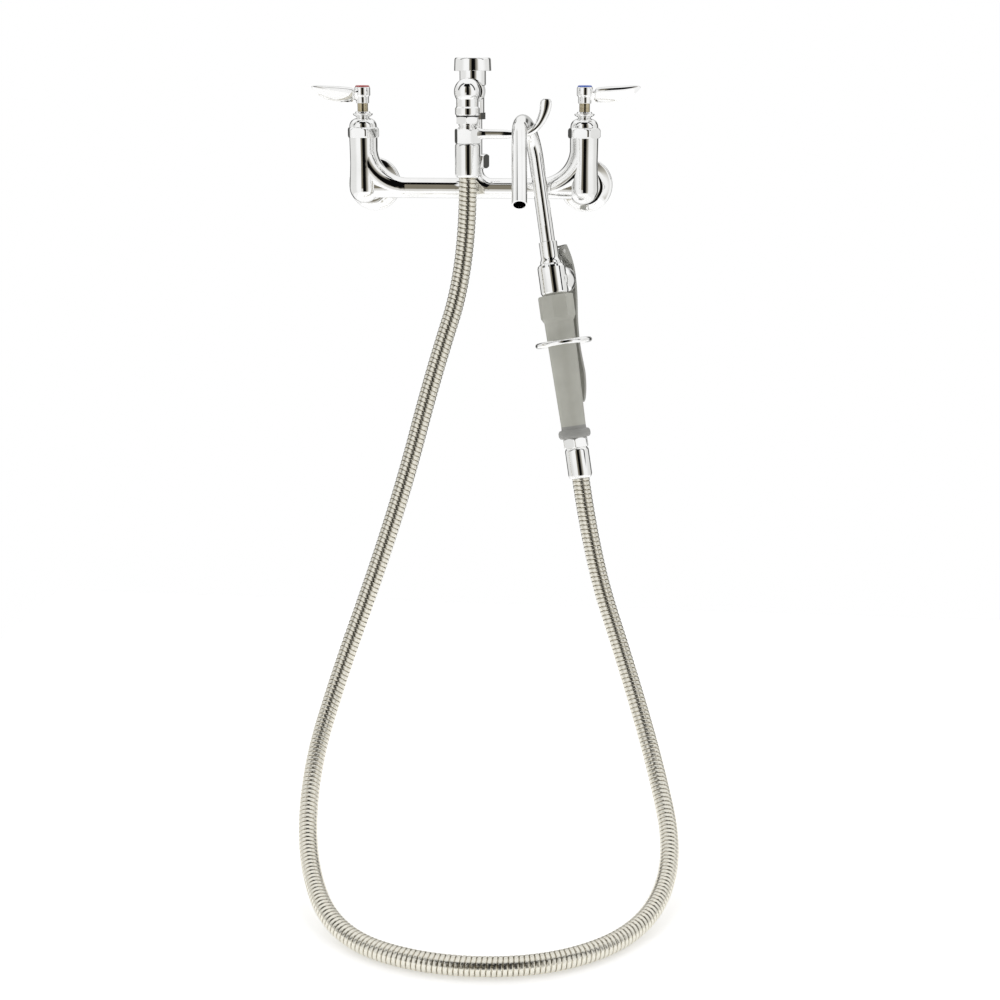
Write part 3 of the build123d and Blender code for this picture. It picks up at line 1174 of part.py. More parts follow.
ring_axis = Axis(top + side_way * RING_SIDE_SHIFT + down * RING_S, down)
with BuildPart() as holddown_ring:
    with BuildSketch(section):
        with Locations((RING_SIDE_SHIFT + RING_MEAN_R, RING_S)):
            Circle(RING_WIRE_R)
    revolve(axis=ring_axis)
keep(holddown_ring, "holddown_ring")

print(len(made), "pieces")
for label, volume in made:
    print(f"{label:24s} {volume:10.0f} mm3")
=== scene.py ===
"""A wall-mounted pre-rinse faucet with a ridged metal hose and a squeeze spray valve.

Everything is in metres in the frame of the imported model: X from the hot valve to
the cold valve, Y into the wall, Z up, and the origin on the wall between the inlets.
"""

from __future__ import annotations

import json
import logging
import math
from dataclasses import dataclass, field
from enum import Enum
from functools import partial
from typing import Callable, Sequence

import bmesh
import bpy
from mathutils import Matrix, Vector

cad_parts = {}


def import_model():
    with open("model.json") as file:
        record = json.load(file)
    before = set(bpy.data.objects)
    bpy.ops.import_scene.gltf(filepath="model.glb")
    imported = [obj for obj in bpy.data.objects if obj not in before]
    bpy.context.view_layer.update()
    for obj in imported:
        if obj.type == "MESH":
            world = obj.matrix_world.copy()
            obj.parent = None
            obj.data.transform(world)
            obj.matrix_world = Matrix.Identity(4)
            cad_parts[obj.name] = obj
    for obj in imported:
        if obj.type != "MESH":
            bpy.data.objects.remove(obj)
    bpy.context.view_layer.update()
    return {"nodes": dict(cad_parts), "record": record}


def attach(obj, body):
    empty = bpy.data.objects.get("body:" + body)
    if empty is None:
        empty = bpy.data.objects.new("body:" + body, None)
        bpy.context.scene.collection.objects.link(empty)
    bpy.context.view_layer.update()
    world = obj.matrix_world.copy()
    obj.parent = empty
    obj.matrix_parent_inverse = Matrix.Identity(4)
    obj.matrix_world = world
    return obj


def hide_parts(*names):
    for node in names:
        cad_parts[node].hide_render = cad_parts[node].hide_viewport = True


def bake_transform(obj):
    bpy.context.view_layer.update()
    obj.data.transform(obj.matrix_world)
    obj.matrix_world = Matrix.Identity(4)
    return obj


log = logging.getLogger("faucet")

MM = 0.001
SHARP_ANGLE = math.radians(27.0)   # edges that turn by more are shaded sharp
MERGE_DISTANCE = 1e-6              # vertices closer than this become one, in metres
EASE_SHARE = 0.48                  # longest ease, as a share of the run beside a corner
FLAT_MARGIN = 0.01                 # millimetres past its limits that a flat still reaches
AXLE_R = 1.0                       # millimetres round an axis that no flat touches

Colour = tuple[float, float, float]
Corners = tuple[tuple[float, float, float], ...]
Socket = bpy.types.NodeSocket


class Body(Enum):
    """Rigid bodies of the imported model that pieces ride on."""

    FAUCET = "faucet"
    HOT_LEVER = "hot_lever"
    COLD_LEVER = "cold_lever"
    SPRAY_VALVE = "spray_valve"


class Slot(Enum):
    """Material slots of the record, noted on new pieces; nothing reads them, and each piece's
    finish is named on its own.
    """

    CHROME = "chrome"
    HOSE = "hose_metal"
    GRIP = "grip_grey"
    BEAD = "bead_rubber"


# --------------------------------------------------------------------- finishes


class NodeBench:
    """Builds the node tree of one material."""

    def __init__(self, name: str) -> None:
        """Start a material with a Principled shader.

        Args:
            name: name of the new material.
        """
        self.material = bpy.data.materials.new(name)
        self.material.use_nodes = True
        self.tree = self.material.node_tree
        self.shader = self.tree.nodes["Principled BSDF"]
        self.place = self.tree.nodes.new("ShaderNodeTexCoord")

    def set(self, **values: object) -> None:
        """Set constant sockets of the shader, named with underscores for spaces."""
        for key, value in values.items():
            self.shader.inputs[key.replace("_", " ")].default_value = value

    def stretched(self, scale: Sequence[float]) -> Socket:
        """Object coordinates scaled along each axis.

        Args:
            scale: factor along X, Y and Z.

        Returns:
            The vector socket of the mapping node.
        """
        mapping = self.tree.nodes.new("ShaderNodeMapping")
        mapping.inputs["Scale"].default_value = tuple(scale)
        self.tree.links.new(self.place.outputs["Object"], mapping.inputs["Vector"])
        return mapping.outputs["Vector"]

    def noise(self, scale: float, detail: float = 3.0, vector: Socket | None = None) -> Socket:
        """Noise over the piece.

        Args:
            scale: cells per metre of the noise.
            detail: octaves of the noise.
            vector: coordinates to use, or None for Object coordinates.

        Returns:
            The factor socket of the noise.
        """
        node = self.tree.nodes.new("ShaderNodeTexNoise")
        node.inputs["Scale"].default_value = scale
        node.inputs["Detail"].default_value = detail
        source = vector if vector is not None else self.place.outputs["Object"]
        self.tree.links.new(source, node.inputs["Vector"])
        return node.outputs["Fac"]

    def spread(self, source: Socket, low: float, high: float,
               start: float = 0.3, stop: float = 0.7) -> Socket:
        """Map a factor to a range.

        Args:
            source: factor to map.
            low: result at start.
            high: result at stop.
            start: factor that gives low.
            stop: factor that gives high.

        Returns:
            The mapped socket.
        """
        node = self.tree.nodes.new("ShaderNodeMapRange")
        node.inputs["From Min"].default_value = start
        node.inputs["From Max"].default_value = stop
        node.inputs["To Min"].default_value = low
        node.inputs["To Max"].default_value = high
        self.tree.links.new(source, node.inputs["Value"])
        return node.outputs["Result"]

    def blend_colours(self, source: Socket, stops: Sequence[tuple[float, Colour]]) -> None:
        """Drive the base colour from a factor through a ramp.

        Args:
            source: factor of the ramp.
            stops: positions and colours.
        """
        ramp = self.tree.nodes.new("ShaderNodeValToRGB")
        marks = ramp.color_ramp.elements
        while len(marks) < len(stops):
            marks.new(0.5)
        for mark, (position, colour) in zip(marks, stops):
            mark.position = position
            mark.color = (*colour, 1.0)
        self.tree.links.new(source, ramp.inputs["Fac"])
        self.tree.links.new(ramp.outputs["Color"], self.shader.inputs["Base Color"])

    def relief(self, source: Socket, strength: float, depth: float) -> None:
        """Add a bump map.

        Args:
            source: height factor.
            strength: strength of the bump.
            depth: height of a full step, in metres.
        """
        bump = self.tree.nodes.new("ShaderNodeBump")
        bump.inputs["Strength"].default_value = strength
        bump.inputs["Distance"].default_value = depth
        self.tree.links.new(source, bump.inputs["Height"])
        self.tree.links.new(bump.outputs["Normal"], self.shader.inputs["Normal"])

    def drive(self, source: Socket, socket: str) -> None:
        """Link a factor to one of the shader's sockets."""
        self.tree.links.new(source, self.shader.inputs[socket])


@dataclass(frozen=True)
class PlatedFinish:
    """Polished plating or bare metal with faint waviness and water haze."""

    name: str
    bright: Colour = (0.93, 0.93, 0.925)
    dull: Colour = (0.86, 0.86, 0.85)
    smooth: float = 0.035
    hazy: float = 0.10
    wave: float = 0.00002
    haze_scale: float = 38.0
    spot_scale: float = 90.0
    wave_scale: float = 55.0

    def make(self) -> bpy.types.Material:
        """Build the material.

        Returns:
            The new material.
        """
        bench = NodeBench(self.name)
        bench.set(Metallic=1.0)
        haze = bench.noise(self.haze_scale, 4.0)
        bench.blend_colours(haze, [(0.3, self.dull), (0.6, self.bright)])
        spots = bench.noise(self.spot_scale, 6.0)
        bench.drive(bench.spread(spots, self.smooth, self.hazy, 0.45, 0.85), "Roughness")
        bench.relief(bench.noise(self.wave_scale, 1.0), 0.25, self.wave)
        return bench.material


@dataclass(frozen=True)
class TurnedFinish:
    """Machined metal with fine turning marks round the vertical axis."""

    name: str
    bright: Colour
    dull: Colour
    rough: float = 0.28
    mark_scale: tuple[float, float, float] = (40.0, 40.0, 5200.0)
    mark_depth: float = 0.00003

    def make(self) -> bpy.types.Material:
        """Build the material.

        Returns:
            The new material.
        """
        bench = NodeBench(self.name)
        bench.set(Metallic=1.0)
        rings = bench.noise(1.0, 2.0, bench.stretched(self.mark_scale))
        bench.blend_colours(rings, [(0.35, self.dull), (0.65, self.bright)])
        bench.drive(bench.spread(rings, self.rough * 0.7, self.rough * 1.4), "Roughness")
        bench.relief(rings, 0.3, self.mark_depth)
        return bench.material


@dataclass(frozen=True)
class MouldedFinish:
    """Moulded plastic or rubber with a fine spark texture and slight wear."""

    name: str
    light: Colour
    dark: Colour
    rough: float = 0.5
    grain: float = 2600.0
    depth: float = 0.00006
    coat: float = 0.0
    patch_scale: float = 60.0
    wear_scale: float = 220.0

    def make(self) -> bpy.types.Material:
        """Build the material.

        Returns:
            The new material.
        """
        bench = NodeBench(self.name)
        bench.set(Coat_Weight=self.coat)
        patches = bench.noise(self.patch_scale, 5.0)
        bench.blend_colours(patches, [(0.3, self.dark), (0.7, self.light)])
        wear = bench.noise(self.wear_scale, 4.0)
        bench.drive(bench.spread(wear, self.rough - 0.08, self.rough + 0.1), "Roughness")
        bench.relief(bench.noise(self.grain, 2.0), 0.35, self.depth)
        return bench.material


@dataclass(frozen=True)
class RidgedHoseFinish:
    """Interlocked metal strip: bright crowns, with painted shade darkening the flanks and seams,
    from a mesh attribute.
    """

    name: str
    crown: Colour = (0.80, 0.775, 0.69)
    # the flank and seam colours are painted shade in the grooves between the windings
    flank_shade: Colour = (0.47, 0.43, 0.34)
    seam: Colour = (0.19, 0.165, 0.115)
    attribute: str = "crown_height"
    haze_scale: float = 420.0
    grain_scale: float = 1500.0
    grain_depth: float = 0.00003

    def make(self) -> bpy.types.Material:
        """Build the material.

        Returns:
            The new material.
        """
        bench = NodeBench(self.name)
        bench.set(Metallic=1.0)
        height = bench.tree.nodes.new("ShaderNodeAttribute")
        height.attribute_name = self.attribute
        # painted shade: the colour darkens from crown to seam with the strip's height
        bench.blend_colours(height.outputs["Fac"],
                            [(0.05, self.seam), (0.55, self.flank_shade), (0.95, self.crown)])
        bench.drive(bench.spread(bench.noise(self.haze_scale, 4.0), 0.18, 0.30), "Roughness")
        bench.relief(bench.noise(self.grain_scale, 2.0), 0.2, self.grain_depth)
        return bench.material


@dataclass
class Finishes:
    """All finishes of the faucet, made once."""

    made: dict[str, bpy.types.Material] = field(default_factory=dict)

    def build(self) -> None:
        """Make every finish."""
        recipes = [
            PlatedFinish("polished_chrome"),
            TurnedFinish("turned_brass", (0.56, 0.50, 0.36), (0.34, 0.29, 0.18), rough=0.16),
            TurnedFinish("turned_steel", (0.74, 0.73, 0.71), (0.5, 0.5, 0.48)),
            MouldedFinish("grip_sleeve", (0.53, 0.53, 0.475), (0.47, 0.47, 0.42), rough=0.38),
            MouldedFinish("squeeze_coating", (0.40, 0.40, 0.365), (0.34, 0.34, 0.31), rough=0.34),
            MouldedFinish("bead_rubber", (0.38, 0.38, 0.365), (0.32, 0.32, 0.305)),
            MouldedFinish("seal_rubber", (0.035, 0.035, 0.035), (0.015, 0.015, 0.015), rough=0.6),
            MouldedFinish("washer_fibre", (0.32, 0.12, 0.06), (0.20, 0.07, 0.035), rough=0.7,
                          grain=900.0),
            MouldedFinish("disc_ceramic", (0.86, 0.86, 0.82), (0.78, 0.78, 0.74), rough=0.2,
                          grain=3000.0, depth=1e-5),
            MouldedFinish("float_acetal", (0.82, 0.81, 0.76), (0.74, 0.73, 0.68), rough=0.35),
            MouldedFinish("hot_index", (0.55, 0.03, 0.03), (0.42, 0.02, 0.02), rough=0.25,
                          depth=1e-5, coat=0.4),
            MouldedFinish("cold_index", (0.04, 0.14, 0.62), (0.03, 0.10, 0.50), rough=0.25,
                          depth=1e-5, coat=0.4),
            RidgedHoseFinish("ridged_hose"),
        ]
        for recipe in recipes:
            self.made[recipe.name] = recipe.make()

    def dress(self, piece: bpy.types.Object, name: str) -> None:
        """Give a piece one finish in all its material slots.

        Args:
            piece: object to dress.
            name: finish to give it.
        """
        if not piece.material_slots:
            piece.data.materials.append(self.made[name])
        for place in piece.material_slots:
            place.material = self.made[name]


FINISH_OF_SLOT = {
    "chrome": "polished_chrome", "brass": "turned_brass", "hose_metal": "ridged_hose",
    "steel": "turned_steel", "grip_grey": "grip_sleeve", "lever_grey": "squeeze_coating",
    "bead_rubber": "bead_rubber", "seal_rubber": "seal_rubber", "fibre": "washer_fibre",
    "ceramic": "disc_ceramic", "acetal": "float_acetal", "red": "hot_index", "blue": "cold_index",
}


# ---------------------------------------------------------------- mesh helpers


def finish_mesh(mesh: bmesh.types.BMesh, name: str, body: Body | None) -> bpy.types.Object:
    """Turn a bmesh into a finished piece.

    Args:
        mesh: the shape, in metres in the frame of the model.
        name: name of the piece.
        body: rigid body that the piece rides on, or None where it rides on none.

    Returns:
        The new object.
    """
    data = bpy.data.meshes.new(name)
    for face in mesh.faces:
        face.smooth = True
    for edge in mesh.edges:
        edge.smooth = edge.calc_face_angle(0.0) < SHARP_ANGLE
    mesh.to_mesh(data)
    mesh.free()
    piece = bpy.data.objects.new(name, data)
    bpy.context.collection.objects.link(piece)
    if body:
        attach(piece, body.value)
    log.info("%s: %d faces", name, len(data.polygons))
    return piece


def axis_matrix(origin: Vector, along: Vector, side: Vector) -> Matrix:
    """Matrix that takes local X to side and local Z to along.

    Args:
        origin: where the local origin goes.
        along: direction of local Z.
        side: direction of local X, made square to along.

    Returns:
        The placing matrix.
    """
    along = along.normalized()
    side = (side - along * side.dot(along)).normalized()
    turned = Matrix((side, along.cross(side), along)).transposed().to_4x4()
    return Matrix.Translation(origin) @ turned


def eased(corners: Corners, steps: int = 4) -> list[tuple[float, float]]:
    """Round the corners of a closed profile.

    Args:
        corners: (radius, height, ease) of each corner; ease is how far from the
            corner its rounding starts, and 0 keeps the corner sharp.
        steps: divisions of each rounded corner.

    Returns:
        (radius, height) points of the rounded profile.
    """
    points = []
    for index, (radius, height, ease) in enumerate(corners):
        corner = Vector((radius, height))
        if ease == 0:
            points.append((radius, height))
            continue
        before = Vector(corners[index - 1][:2]) - corner
        after = Vector(corners[(index + 1) % len(corners)][:2]) - corner
        reach = min(ease, EASE_SHARE * before.length, EASE_SHARE * after.length)
        start = corner + before.normalized() * reach
        stop = corner + after.normalized() * reach
        for step in range(steps + 1):
            share = step / steps
            point = start.lerp(corner, share).lerp(corner.lerp(stop, share), share)
            points.append((point.x, point.y))
    return points


def spun(mesh: bmesh.types.BMesh, profile: Sequence[tuple[float, float]], steps: int = 96) -> None:
    """Spin a closed profile once round local Z.

    Args:
        mesh: bmesh that receives the shape.
        profile: (radius, height) corners in millimetres, in order round the profile.
        steps: divisions of the turn.
    """
    verts = [mesh.verts.new((r * MM, 0.0, z * MM)) for r, z in profile]
    edges = [mesh.edges.new(pair) for pair in zip(verts, verts[1:] + verts[:1])]
    bmesh.ops.spin(mesh, geom=verts + edges, cent=(0, 0, 0), axis=(0, 0, 1),
                   angle=math.tau, steps=steps, use_merge=True, use_duplicate=False)
    bmesh.ops.remove_doubles(mesh, verts=mesh.verts, dist=MERGE_DISTANCE)
    bmesh.ops.recalc_face_normals(mesh, faces=mesh.faces)


@dataclass(frozen=True)
class Flats:
    """Wrench flats cut on a spun shape, in millimetres and degrees."""

    count: int
    across: float
    low: float
    high: float
    turn: float = 0.0
    crispness: float = 220.0

    def cut(self, mesh: bmesh.types.BMesh) -> None:
        """Draw the vertices between low and high in to the flats.

        Args:
            mesh: spun shape round local Z, in metres.
        """
        sector = math.tau / self.count
        for vertex in mesh.verts:
            height = vertex.co.z / MM
            radius = math.hypot(vertex.co.x, vertex.co.y) / MM
            if not self.low - FLAT_MARGIN <= height <= self.high + FLAT_MARGIN or radius < AXLE_R:
                continue
            angle = math.atan2(vertex.co.y, vertex.co.x) - math.radians(self.turn)
            off = (angle + sector / 2) % sector - sector / 2
            flat = self.across / 2 / math.cos(off)
            power = -self.crispness
            shrunk = (radius ** power + flat ** power) ** (1 / power)
            vertex.co.x *= shrunk / radius
            vertex.co.y *= shrunk / radius


def wrapped(mesh: bmesh.types.BMesh, rows: int, sides: int,
            place: Callable[[bmesh.types.BMVert, int, float], None]) -> None:
    """Wrap a grid round a path, merge its seam and close its ends.

    Args:
        mesh: bmesh that receives the shape.
        rows: number of steps along the path.
        sides: number of steps round it.
        place: puts a vertex in its place, from its row and its share of the turn.
    """
    bmesh.ops.create_grid(mesh, x_segments=rows, y_segments=sides, size=0.5)
    for vertex in mesh.verts:
        row = round((vertex.co.x + 0.5) * rows)
        number = round((vertex.co.y + 0.5) * sides)
        place(vertex, row, number / sides)
    bmesh.ops.remove_doubles(mesh, verts=mesh.verts, dist=MERGE_DISTANCE)
    bmesh.ops.holes_fill(mesh, edges=[edge for edge in mesh.edges if edge.is_boundary], sides=0)
    bmesh.ops.recalc_face_normals(mesh, faces=mesh.faces)


def through(stations: Sequence[Sequence[float]], steps: int) -> list[list[float]]:
    """Smooth rows of numbers through the given rows.

    Args:
        stations: rows to pass through, all of one length.
        steps: results for each gap between two rows.

    Returns:
        The smooth rows, from the first station to the last.
    """
    last = len(stations) - 1
    rows = []
    for index in range(last):
        four = [stations[min(max(index + shift, 0), last)] for shift in (-1, 0, 1, 2)]
        for step in range(steps):
            t = step / steps
            rows.append([
                0.5 * (2 * b + (c - a) * t + (2 * a - 5 * b + 4 * c - d) * t * t
                       + (3 * b - a - 3 * c + d) * t ** 3)
                for a, b, c, d in zip(*four)
            ])
    rows.append(list(stations[last]))
    return rows


# ---------------------------------------------------------------- turned pieces


INLET_X = 101.6
AXIS_Y = -57.0
COLUMN_Y = -99.0
HANDLE_TOP = Vector((59.2, -71.3, 26.9))
HANDLE_DOWN = Vector((0.1606961, -0.18829543, -0.96887646))
SQUEEZE_WAY = Vector((0.51505809, 0.8533742, -0.08042164))
STEM_STATION = 110.0
WRENCHED = 19.0                    # degrees that the tightened hexagons stand round


def upright(x: float, y: float) -> Matrix:
    """Frame of an upright axis, at a place in millimetres."""
    return axis_matrix(Vector((x, y, 0)) * MM, Vector((0, 0, 1)), Vector((1, 0, 0)))


def wallward(x: float) -> Matrix:
    """Frame of an inlet, with heights measured from the wall towards the user."""
    return axis_matrix(Vector((x, 0, 0)) * MM, Vector((0, -1, 0)), Vector((1, 0, 0)))


def handle_frame() -> Matrix:
    """Frame of the spray valve's handle, with heights running down it."""
    return axis_matrix(HANDLE_TOP * MM, HANDLE_DOWN, SQUEEZE_WAY)


def stem_frame() -> Matrix:
    """Frame of the spray valve's stem, with heights running out to the squeeze lever."""
    return axis_matrix((HANDLE_TOP + HANDLE_DOWN * STEM_STATION) * MM, SQUEEZE_WAY, HANDLE_DOWN)


@dataclass(frozen=True)
class TurnedPart:
    """A piece spun from a rounded profile, with wrench flats where it has them."""

    name: str
    node: str | None
    place: Matrix
    corners: Corners
    body: Body = Body.FAUCET
    slot: Slot = Slot.CHROME
    finish: str = "polished_chrome"
    flats: Flats | None = None

    def build(self, finishes: Finishes) -> None:
        """Make the piece, in place of its node where it has one.

        Args:
            finishes: finishes of the faucet.
        """
        mesh = bmesh.new()
        spun(mesh, eased(self.corners))
        if self.flats:
            self.flats.cut(mesh)
        bmesh.ops.transform(mesh, matrix=self.place, verts=mesh.verts)
        piece = finish_mesh(mesh, self.name, self.body)
        finishes.dress(piece, self.finish)
        if self.node:
            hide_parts(self.node)


@dataclass(frozen=True)
class WallInlet:
    """Wall flange and union nut of one inlet, as (radius, height, ease) corners."""

    side: str
    x: float
    flange: Corners = (
        (9.3, 0, 0), (25, 0, 1.0), (25.2, 4.6, 2.6), (20.6, 6.4, 2.6), (17.0, 8.0, 1.6),
        (14.5, 9.8, 1.2), (14.5, 21, 0.3), (7, 21, 0), (7, 16, 0), (9.3, 16, 0),
    )
    nut: Corners = (
        (14.6, 12, 0), (17.1, 12, 1), (19.1, 14, 1.5), (19.1, 29, 1.5), (17.1, 31, 1),
        (11.6, 31, 0.2), (11.6, 26.3, 0), (14.6, 26.3, 0),
    )
    nut_flats: Flats = Flats(6, 33.0, 12.0, 31.0, 30.0)

    def build(self, finishes: Finishes) -> None:
        """Make the flange and the nut.

        Args:
            finishes: finishes of the faucet.
        """
        place = wallward(self.x)
        TurnedPart(f"{self.side}_wall_flange", f"{self.side}_inlet_flange", place,
                   self.flange).build(finishes)
        TurnedPart(f"{self.side}_union_nut", f"{self.side}_coupling_nut", place,
                   self.nut, flats=self.nut_flats).build(finishes)


@dataclass(frozen=True)
class ValveTop:
    """Domed bonnet and dished collar of one quarter-turn valve."""

    side: str
    x: float
    bonnet: Corners = (
        (4.85, 45.3, 0), (13.9, 45.3, 0.6), (15.2, 46.6, 1.2), (15.2, 52.6, 1.2),
        (13.4, 54.3, 0.8), (12.7, 54.5, 0.3), (12.5, 57.4, 1.6), (10.9, 60.4, 2.0),
        (7.6, 62.3, 1.4), (5.9, 62.7, 0.4), (5.6, 63.8, 0), (4.85, 63.8, 0),
    )
    bonnet_flats: Flats = Flats(6, 27.0, 45.3, 54.35, WRENCHED)
    collar: Corners = (
        (4.85, 63.8, 0), (6.4, 63.8, 0.3), (8.9, 65.3, 0.7), (9.2, 66.7, 0.5),
        (7.2, 66.9, 0.5), (6.5, 68.5, 0.4), (4.85, 68.5, 0),
    )

    def build(self, finishes: Finishes) -> None:
        """Make the bonnet and the collar.

        Args:
            finishes: finishes of the faucet.
        """
        place = upright(self.x, AXIS_Y)
        TurnedPart(f"{self.side}_domed_bonnet", f"{self.side}_bonnet", place,
                   self.bonnet, flats=self.bonnet_flats).build(finishes)
        TurnedPart(f"{self.side}_dished_collar", f"{self.side}_packing_nut", place,
                   self.collar).build(finishes)


@dataclass(frozen=True)
class OutletColumn:
    """Adapter and hose ferrule of the outlet column, and the hood of the breaker."""

    ferrule: Corners = (
        (5.0, 12.5, 0), (9.9, 12.5, 0.8), (11.3, 14.6, 1.4), (11.3, 40.4, 0.9),
        (10.4, 41.8, 0.5), (9.3, 41.8, 0), (9.3, 40.3, 0), (6.9, 40.3, 0), (6.9, 34.0, 0),
        (5.0, 34.0, 0),
    )
    adapter: Corners = (
        (4.8, 34.0, 0), (6.9, 34.0, 0.3), (6.9, 54.6, 0), (8.0, 54.6, 0), (8.0, 56.0, 0.2),
        (7.2, 56.4, 0), (7.2, 57.0, 0), (8.0, 57.4, 0.2), (8.0, 59.1, 0), (9.6, 59.1, 0.3),
        (10.6, 60.1, 0.8), (10.6, 64.2, 0.6), (9.8, 65.0, 0.3), (7.5, 65.0, 0), (7.5, 72.0, 0),
        (4.8, 72.0, 0),
    )
    adapter_flats: Flats = Flats(6, 18.5, 59.1, 65.0)
    hood: Corners = (
        (14.6, 104.3, 0), (16.9, 104.3, 0.3), (16.5, 114.6, 0.8), (15.6, 115.8, 0.6),
        (12.8, 115.8, 0.3), (12.4, 115.3, 0.3), (0, 115.3, 0), (0, 111.1, 0),
        (12.05, 111.1, 0), (12.05, 107.1, 0), (14.6, 107.1, 0),
    )

    def build(self, finishes: Finishes) -> None:
        """Make the three pieces.

        Args:
            finishes: finishes of the faucet.
        """
        place = upright(0.0, COLUMN_Y)
        TurnedPart("upper_hose_ferrule", "upper_ferrule", place, self.ferrule).build(finishes)
        TurnedPart("grooved_adapter", "outlet_adapter", place, self.adapter,
                   flats=self.adapter_flats).build(finishes)
        TurnedPart("breaker_hood", "breaker_cap", upright(0.0, AXIS_Y),
                   self.hood).build(finishes)


@dataclass(frozen=True)
class SprayValve:
    """Turned and moulded pieces of the spray valve, from its coupling to its ferrule."""

    coupling: Corners = (
        (6.7, 74.7, 0), (8.3, 74.7, 0.5), (8.3, 89.6, 1.6), (9.6, 92.4, 0.8), (9.6, 94.5, 0.3),
        (6.6, 94.5, 0), (6.6, 101.0, 0), (4.7, 101.0, 0), (4.7, 88.0, 0), (6.7, 88.0, 0),
    )
    bulge: Corners = (
        (12.9, 4.0, 0), (13.4, 4.0, 0.3), (13.9, 7.5, 2.2), (13.9, 12.0, 2.6),
        (13.3, 15.6, 1.6), (12.9, 17.0, 0),
    )
    bonnet: Corners = (
        (5.2, 11.0, 0), (7.4, 11.0, 0), (7.4, 17.0, 0), (13.0, 17.0, 0.2), (12.6, 18.8, 1.5),
        (9.6, 21.4, 1.8), (3.05, 21.8, 0.3), (3.05, 13.2, 0), (5.2, 13.2, 0),
    )
    sleeve: Corners = (
        (8.0, 123.4, 0), (15.4, 123.4, 0.4), (16.9, 124.6, 0.8), (16.9, 142.4, 1.0),
        (14.2, 146.2, 0.8), (13.4, 147.4, 0.5), (11.3, 243.1, 0), (8.0, 243.1, 0),
    )
    sleeve_flats: Flats = Flats(8, 30.2, 123.4, 143.4)
    bead: Corners = (
        (8.0, 243.1, 0), (11.3, 243.1, 0), (11.4, 246.4, 0.8), (13.4, 246.6, 2.0),
        (14.7, 248.6, 2.0), (14.7, 252.2, 2.0), (13.4, 254.3, 2.0), (11.4, 254.4, 0.4),
        (8.0, 254.4, 0),
    )
    swivel: Corners = (
        (8.0, 254.4, 0), (10.9, 254.4, 0.4), (12.2, 255.7, 0.8), (12.2, 262.0, 0.8),
        (10.9, 263.2, 0.4), (6.9, 263.2, 0), (6.9, 270.0, 0), (5.0, 270.0, 0), (5.0, 260.8, 0),
        (8.0, 260.8, 0),
    )
    swivel_flats: Flats = Flats(6, 21.5, 254.4, 263.2)
    ferrule: Corners = (
        (6.9, 263.2, 0), (9.6, 263.2, 0.6), (11.0, 265.4, 1.0), (11.0, 288.8, 1.2),
        (9.4, 291.5, 0.8), (5.0, 291.5, 0), (5.0, 270.0, 0), (6.9, 270.0, 0),
    )

    def build(self, finishes: Finishes) -> None:
        """Make the seven pieces.

        Args:
            finishes: finishes of the faucet.
        """
        handle, stem, body = handle_frame(), stem_frame(), Body.SPRAY_VALVE
        parts = [
            TurnedPart("tube_coupling", "nozzle_coupling", handle, self.coupling, body),
            TurnedPart("boss_bulge", None, stem, self.bulge, body),
            TurnedPart("boss_bonnet", "stem_bonnet", stem, self.bonnet, body),
            TurnedPart("grip_sleeve", "grip", handle, self.sleeve, body, Slot.GRIP,
                       "grip_sleeve", self.sleeve_flats),
            TurnedPart("grip_end_bead", "grip_bead", handle, self.bead, body, Slot.BEAD,
                       "bead_rubber"),
            TurnedPart("swivel_hexagon", "swivel_nut", handle, self.swivel, body,
                       flats=self.swivel_flats),
            TurnedPart("lower_hose_ferrule", "lower_ferrule", handle, self.ferrule, body),
        ]
        for part in parts:
            part.build(finishes)


# ----------------------------------------------------------------- shaped pieces


